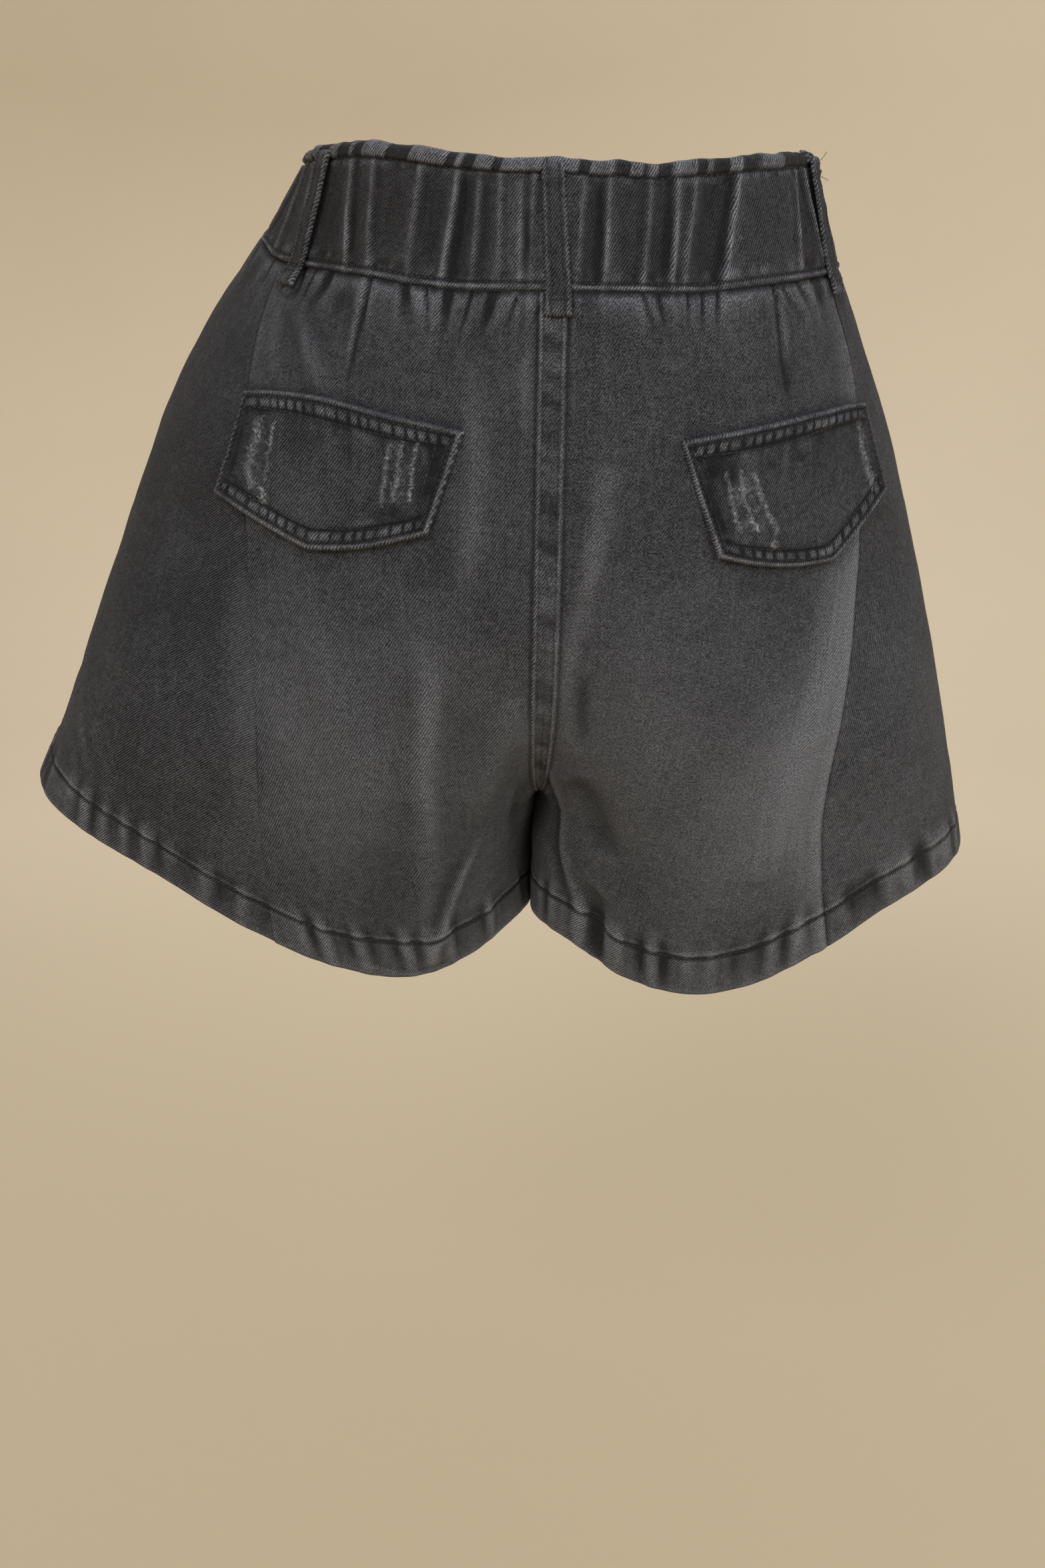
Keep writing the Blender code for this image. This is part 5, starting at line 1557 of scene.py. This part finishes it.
def make_flap(half):
    u = spaced(0, (0.09, 20), (0.91, 130), (1, 20))
    v = spaced(0, (0.20, 28), (0.78, 60), (1, 28))
    uu, vv = np.meshgrid(u, v)
    places = flap_outline(half, uu, vv)
    rows, columns = FLAP_GRID
    spots = flap_outline(half, *np.meshgrid(np.linspace(0, 1, columns), np.linspace(0, 1, rows)))
    found = refined(np.array([[panel_place(half, *spot) for spot in row] for row in spots]), vv, uu)
    base, directions, form = found[..., :3], unit(found[..., 3:6]), found[..., 6]
    width = np.linalg.norm(places[:, -1] - places[:, 0], axis=-1)[:, None]
    tall = np.linalg.norm(places[-1] - places[0], axis=-1)[None]
    inner, top, bottom = uu * width, vv * tall, (1 - vv) * tall
    side, level_edge = np.minimum(inner, (1 - uu) * width), np.minimum(top, bottom)
    edge = np.minimum(side, level_edge)
    x, y = places[..., 0], places[..., 1]
    seed = 120 if half == "left" else 140
    run = np.where(side < level_edge, y, x)
    rope = 0.80 + 0.30 * np.sin(2 * math.pi * (run + 0.6 * edge) / 0.0021)
    beads = np.sin(2 * math.pi * (run + 0.15 * edge) / 0.0062 + 2.4 * wobble(run, 0.013, seed + 2))
    beads = step_up(beads + 0.40 * wobble(run, 0.007, seed + 10), -0.50, 0.9)
    on_rows = step_up(side, 0.0052, 0.003)
    pulls = wobble(x + 0.2 * y, 0.0042, seed + 6)
    worn = np.select([edge == inner, edge == bottom, edge == top], [1.0, 0.95, 0.60], 0.45)
    patterns = {
        "rope": rope, "rows": on_rows, "beads": on_rows * beads, "gaps": on_rows * (1 - beads),
        "pulls": on_rows * pulls, "pulled_in": on_rows * pits(pulls),
        "worn_rope": worn * rope * (0.80 + 0.45 * wobble(run, 0.0075, seed + 3)),
        "worn_beads": on_rows * beads * (0.6 + 0.5 * wobble(run, 0.010, seed + 11)),
        "crumbs": on_rows * hills(wobble(run, 0.004, seed + 7)),
        "shadows": on_rows * hills(0.4 + wobble(run, 0.009, seed + 8)),
    }
    at = {"edge": edge, "level": level_edge, "side": side, "top": top}
    fine = 0.0005 * rumple(x, y, 0.020, seed) + 0.00015 * rumple(x, y, 0.007, seed + 1)
    fine += soft_lines(FLAP_LINES, "lift", at, patterns)
    lift = LAID_GAP + FLAP_LIFT * vv**2
    outside = base + directions * (form + lift + FLAP_CLOTH + fine)[..., None]
    inside = base + directions * (form + lift)[..., None]
    wear, dark, bare = flap_tears(half, x, y, seed)
    # Below the top rows, streaks of painted light and painted shade stand for soft upright puckers
    below = on_rows * (top > 0.0100) * bump(top, 0.0100, 0.019)
    streaks = wobble(x + 0.20 * y, 0.0052, seed + 15) + 0.4 * wobble(x, 0.0021, seed + 16)
    wear += soft_lines(FLAP_LINES, "wear", at, patterns) + 0.16 * below * hills(streaks)
    dark += soft_lines(FLAP_LINES, "dark", at, patterns) + 0.30 * below * pits(streaks)
    fade = 0.06 + 0.07 * rumple(x, y, 0.03, seed + 5) + 0.09 * bump(uu, 0.55, 0.30) * bump(vv, 0.65, 0.30)
    masks = clipped(wear, dark, fade)
    masks["bare"] = hills(bare + soft_lines(FLAP_LINES, "bare", at, patterns))
    flat = np.stack([-HALVES[half]["sign"] * x, -y], -1)
    piece = wall_piece(
        "cloth_pocket_flap_" + half, outside, inside, flat, masks, (FLAP_RIM,) * 4,
        half == "right", WORN_DENIM,
    )
    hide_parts("pocket_flap_" + half)
    GRIDS["flap_" + half] = (SimpleNamespace(u=u, v=v, width=width, tall=tall), outside, directions)


def frayed_threads(half):
    """Short pale threads that stand up along the flaps' worn streaks."""
    f, outside, directions = GRIDS["flap_" + half]
    rows, columns = outside.shape[:2]
    grid = flap_outline(half, *np.meshgrid(f.u, f.v))
    chance = np.random.default_rng(170 if half == "left" else 190)
    s = np.linspace(-1, 1, 7)[:, None]
    parts = []
    for thick, _, points in FLAP_STREAKS[half]:
        for (x1, y1), (x2, y2) in zip(points, points[1:]):
            for _ in range(max(2, round(math.hypot(x2 - x1, y2 - y1) / THREAD_SPACING))):
                t = chance.uniform(0, 1)
                x = x1 + (x2 - x1) * t + chance.normal(0, 0.7) * thick
                off = np.hypot(grid[..., 0] - x, grid[..., 1] - (y1 + (y2 - y1) * t))
                row, column = divmod(int(np.argmin(off)), columns)
                row, column = min(max(row, 1), rows - 2), min(max(column, 1), columns - 2)
                root, normal = outside[row, column], directions[row, column]
                over = unit(outside[row, column + 1] - outside[row, column - 1])
                along = unit(outside[row + 1, column] - outside[row - 1, column])
                angle = chance.normal(0, 0.5) + (math.pi / 2 if chance.uniform() < 0.45 else 0)
                way = along * math.cos(angle) + over * math.sin(angle)
                long = chance.uniform(0.0006, 0.0015)
                bend = np.cross(way, normal) * chance.normal(0, 0.0004)
                path = root + normal * (0.0002 + 0.0004 * (1 - s**2)) + way * s * long + bend * s**2
                parts.append(tube_along(path, chance.uniform(0.00018, 0.00036)))
    return parts


# Belt loops

LOOP_SPAN = (0.05, 1.18)    # parts of the band's height; past 1 the loop lies on the panels
LOOP_COLUMNS, LOOP_ROWS = 17, 64
LOOP_RIMS = (0.0007, 0.0007, 0.0006, 0.0006)
LOOP_FADE = 0.14
# Lines on a loop. Columns: kind, measured from, at, half width, amount, pattern
# The dark lines are painted shade in the stitching grooves and below the folded ends.
LOOP_LINES = (
    ("lift", "side", 0.0, 0.0007, -0.0009, "even"),
    ("lift", "side", 0.0026, 0.0006, -0.0004, "even"),
    ("lift", "side", 0.0012, 0.0007, 0.0004, "rope"),
    ("lift", "end", 0.0, 0.0012, -0.0008, "even"),
    ("lift", "end", 0.0060, 0.0009, -0.0005, "even"),
    ("wear", "side", 0.0009, 0.0009, 0.50, "worn_rope"),
    ("wear", "end", 0.0012, 0.0014, 0.30, "worn"),
    ("dark", "side", 0.0027, 0.0008, 0.55, "even"),
    ("dark", "end", 0.0095, 0.0010, 0.4, "even"),
)


def make_loop(name, half, head, foot, width):
    sign = HALVES[half]["sign"]
    head, foot = sign * head, sign * foot
    half_width = width / 2 / ring_length("left", 0)
    across = np.linspace(-half_width, half_width, LOOP_COLUMNS)
    heights = np.linspace(*LOOP_SPAN, LOOP_ROWS)
    base, directions = [], []
    for height in heights:
        places = head + (foot - head) * min(height, 1) + across
        if height <= 1:
            base.append(on_ring(band_base, height, places))
            directions.append(on_ring(band_directions, height, places))
        else:
            down = round(LOOP_FOOT_DOWN / PANEL_LENGTH * (height - 1) / (LOOP_SPAN[1] - 1), 4)
            base.append(on_ring(panel_base, down, places))
            directions.append(on_ring(functools.partial(outward, panel_base), down, places))
    base, directions = np.array(base), unit(np.array(directions))
    s, h = np.meshgrid(np.linspace(-1, 1, LOOP_COLUMNS), heights)
    from_side, along = (1 - np.abs(s)) * width / 2, h * BAND_TALL
    from_end = np.minimum(h - LOOP_SPAN[0], LOOP_SPAN[1] - h) * BAND_TALL
    seed = sum(ord(letter) for letter in name)
    rope = 0.75 + 0.35 * np.sin(2 * math.pi * (along + 0.5 * from_side) / 0.0022)
    worn = 0.65 + 0.45 * wobble(along + s, 0.006, seed + 2)
    at = {"side": from_side, "end": from_end}
    patterns = {"rope": rope, "worn": worn, "worn_rope": worn * rope}
    folded = 1 - step_up(from_end, 0.009, 0.002)
    fine = 0.0004 * rumple(s * 0.006, along, 0.006, seed) + 0.0002 * wobble(along, 0.003, seed + 1)
    fine += soft_lines(LOOP_LINES, "lift", at, patterns) + 0.0008 * folded
    wear = soft_lines(LOOP_LINES, "wear", at, patterns) + 0.10 * folded
    dark = soft_lines(LOOP_LINES, "dark", at, patterns)
    dark += 0.20 * (1 - folded) * step_up(from_side, 0.003, 0.002)
    lift = LAID_GAP + FELL_HEIGHT * step_up(h, 0.93, 0.12)
    outside = base + directions * (lift + LOOP_CLOTH + fine)[..., None]
    inside = base + directions * lift[..., None]
    flat = np.stack([-s * width / 2, -along], -1)
    piece = wall_piece(
        "cloth_" + name, outside, inside, flat, clipped(wear, dark, np.full_like(wear, LOOP_FADE)),
        LOOP_RIMS, False, WORN_DENIM,
    )
    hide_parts(name)
    GRIDS[name] = (None, outside, directions)


for side_name in HALVES:
    for face_name in ("back", "front"):
        make_panel(side_name, face_name)
    make_flap(side_name)
for face_name in ("back", "front"):
    make_band(face_name)
for loop in LOOPS[1:]:
    make_loop(*loop)


# Stitching

def line_on(grid_name, rows=None, columns=None, **more):
    """Stitches along a row or a column, or fractional places, of a fine grid."""
    _, outside, directions = GRIDS[grid_name]
    ways = grid_line(directions, rows, columns)
    return stitches_along(grid_line(outside, rows, columns), unit(ways), **more)


def panel_stitches():
    """Along each hem, and beside each centre seam down to the crotch."""
    parts = []
    for half in HALVES:
        for face, from_seam in CENTRE_STITCHES.items():
            name = f"{face}_panel_{half}"
            f, outside, _ = GRIDS[name]
            rows, columns = outside.shape[:2]
            stitch_row = np.interp(1 - HEM_STITCH / PANEL_LENGTH, f.downs, np.arange(rows))
            parts.append(line_on(name, np.full(columns, stitch_row), np.arange(columns)))
            above = np.arange(4, np.sum(f.downs < CROTCH_DOWN) - 5)
            beside = [np.interp(from_seam, *ordered(f.centre[row])) for row in above]
            parts.append(line_on(name, above, beside))
    return parts


def ordered(values):
    order = np.argsort(values)
    return values[order], order


def band_stitches():
    parts = []
    for face in ("back", "front"):
        f, outside, _ = GRIDS["band_" + face]
        rows, columns = outside.shape[:2]
        for height in (FRILL_PART, BAND_SEAM):
            row = np.interp(height, f.heights, np.arange(rows))
            parts.append(line_on("band_" + face, np.full(columns, row), np.arange(columns)))
    return parts


def flap_stitches():
    """Two lines round each flap."""
    wide, tall = FLAP_LINE_POINTS
    parts = []
    for half in HALVES:
        f, outside, _ = GRIDS["flap_" + half]
        rows, columns = outside.shape[:2]
        for inset in FLAP_STITCHES:
            du, dv = inset / float(f.width.mean()), inset / float(f.tall.mean())
            across, down = np.linspace(du, 1 - du, wide), np.linspace(dv, 1 - dv, tall)
            u = np.concatenate([across, np.full(tall, 1 - du), across[::-1], np.full(tall, du)])
            v = np.concatenate([np.full(wide, dv), down, np.full(wide, 1 - dv), down[::-1]])
            line_rows = np.interp(v, f.v, np.arange(rows))
            line_columns = np.interp(u, f.u, np.arange(columns))
            parts.append(line_on("flap_" + half, line_rows, line_columns))
    return parts


def loop_stitches():
    """A line down each side of a loop, and a close double line across each end."""
    parts = []
    for name, *_ in LOOPS[1:]:
        rows, columns = GRIDS[name][1].shape[:2]
        for column in (3.5, columns - 4.5):
            parts.append(line_on(name, np.arange(1, rows - 1), np.full(rows - 2, column)))
        for row in (6.25, 6.75, rows - 7.75, rows - 7.25):
            whole = np.arange(1, columns - 1)
            parts.append(line_on(name, np.full(columns - 2, row), whole, step=0.0012, length=0.0013))
    return parts


def loose_threads():
    """Two curled thread ends at the head of the right belt loop."""
    _, outside, directions = GRIDS["belt_loop_right"]
    t = np.linspace(0, 1, 16)[:, None]
    parts = []
    for row, turn_way, long in ((2, 1, 0.008), (9, -1, 0.007)):
        start, normal = outside[row, 2], directions[row, 2]
        across = unit(np.cross(normal, [0, 0, 1.0]))
        path = start + normal * (0.0003 + 0.0035 * np.sin(2.6 * t))
        path += across * turn_way * 0.002 * np.sin(3 * t)
        path += np.array([0, 0, long]) * (t - 0.6 * t**2) * turn_way
        parts.append(tube_along(path, 0.00016))
    return parts


joined_piece("stitching_panels", panel_stitches(), THREAD)
joined_piece("stitching_waistband", band_stitches(), THREAD)
joined_piece("stitching_flaps", flap_stitches(), THREAD)
joined_piece("stitching_loops", loop_stitches(), THREAD)
joined_piece("loose_threads", loose_threads(), THREAD)
for side_name in HALVES:
    joined_piece("frayed_threads_" + side_name, frayed_threads(side_name), FRAYED)


# Studio

STAGE_TONES = ((0.70, 0.602, 0.455, 1), (0.725, 0.624, 0.472, 1))
# Painted shade on the floor round the garment, which fades out between NEAR and FAR
PAINTED_FLOOR_SHADE = (0.580, 0.485, 0.335, 1)    # the floor close to the middle
NEAR, FAR = 0.95, 2.0                   # from the garment's waist, where the floor's tone changes
FLOOR_Z, STAGE_RADIUS, STAGE_CURVE, STAGE_TOP = -1.05, 3.2, 1.2, 3.0
STAGE_SIDES = 96
GARMENT = (0, 0, -0.2)
LIGHTS = (
    ("name", "place", "aim", "size", "power", "colour"),
    ("key", (1.0, 2.0, 1.5), GARMENT, 1.3, 22, (1, 1, 1)),
    ("fill", (-1.6, 1.8, 0.9), GARMENT, 1.5, 21, (1, 1, 1)),
    ("front", (0.4, -2.2, 1.4), GARMENT, 1.6, 22, (1, 1, 1)),
    ("wall", (-0.9, -1.5, 1.8), (-0.6, -2.9, -0.6), 1.5, 16, (0.9, 1.0, 1.1)),
)
SKY = 0.40
SKY_COLOUR = (0.95, 1.0, 1.07, 1)
CAMERA_PLACE = (0.019, 0.895, 0.0)
CAMERA_PITCH, CAMERA_TURN = 22, 180     # in degrees, down from level and round to the back
FOCAL_PIXELS, PHOTO_PIXELS = 2350, 2353     # the focal length and the photo's height
SENSOR = 36


def stage_material():
    n = Nodes("pale_floor")
    source = n.add("TexCoord", "Object", {})
    tone = n.noise(source, 1.5, 3.0)
    # Painted shade on the floor near the middle, fading into the floor's own tone further out
    distance = n.add("VectorMath", "Value", {0: source}, operation="LENGTH")
    far_tone = n.mixed(n.spread(tone, 0.3, 0.7), *STAGE_TONES)
    return n.finished(n.mixed(n.spread(distance, NEAR, FAR), PAINTED_FLOOR_SHADE, far_tone), 0.9)


def make_stage():
    """A round pale floor that curves up into a wall."""
    profile = [(0.02, FLOOR_Z), (1.0, FLOOR_Z)]
    for t in np.linspace(0, math.pi / 2, 12):
        out = STAGE_RADIUS - STAGE_CURVE + STAGE_CURVE * math.sin(t)
        profile.append((out, FLOOR_Z + STAGE_CURVE - STAGE_CURVE * math.cos(t)))
    profile.append((STAGE_RADIUS, STAGE_TOP))
    angles = np.linspace(0, 2 * math.pi, STAGE_SIDES, endpoint=False)
    points = [(r * math.cos(a), r * math.sin(a), z) for r, z in profile for a in angles]
    index = np.arange(len(points)).reshape(len(profile), STAGE_SIDES)
    around = np.roll(index, -1, axis=1)
    quads = np.stack([index[:-1], around[:-1], around[1:], index[1:]], -1).reshape(-1, 4).tolist()
    quads.append(tuple(range(STAGE_SIDES))[::-1])
    mesh = bpy.data.meshes.new("stage")
    mesh.from_pydata(points, [], quads)
    mesh.polygons.foreach_set("use_smooth", np.ones(len(quads), bool))
    mesh.materials.append(stage_material())
    stage = bpy.data.objects.new("stage", mesh)
    bpy.context.scene.collection.objects.link(stage)


def area_light(name, place, aim, size, power, colour):
    light = bpy.data.lights.new(name, "AREA")
    light.shape = "DISK"
    light.size = size
    light.energy = power
    light.color = colour
    lamp = bpy.data.objects.new(name, light)
    lamp.location = place
    lamp.rotation_euler = (Vector(aim) - Vector(place)).to_track_quat("-Z", "Y").to_euler()
    bpy.context.scene.collection.objects.link(lamp)


def set_world():
    world = bpy.data.worlds.new("studio")
    bpy.context.scene.world = world
    world.use_nodes = True
    world.node_tree.nodes["Background"].inputs["Color"].default_value = SKY_COLOUR
    world.node_tree.nodes["Background"].inputs["Strength"].default_value = SKY
    bpy.context.scene.view_settings.view_transform = "Standard"


def set_camera():
    camera_data = bpy.data.cameras.new("camera")
    camera_data.lens = SENSOR * FOCAL_PIXELS / PHOTO_PIXELS
    camera_data.sensor_width = SENSOR
    camera_data.clip_start = 0.05
    camera_data.clip_end = 50
    camera = bpy.data.objects.new("camera", camera_data)
    camera.location = CAMERA_PLACE
    camera.rotation_euler = (math.radians(90 - CAMERA_PITCH), 0, math.radians(CAMERA_TURN))
    bpy.context.scene.collection.objects.link(camera)
    bpy.context.scene.camera = camera


make_stage()
for light_row in LIGHTS[1:]:
    area_light(*light_row)
set_world()
set_camera()

bpy.context.view_layer.update()
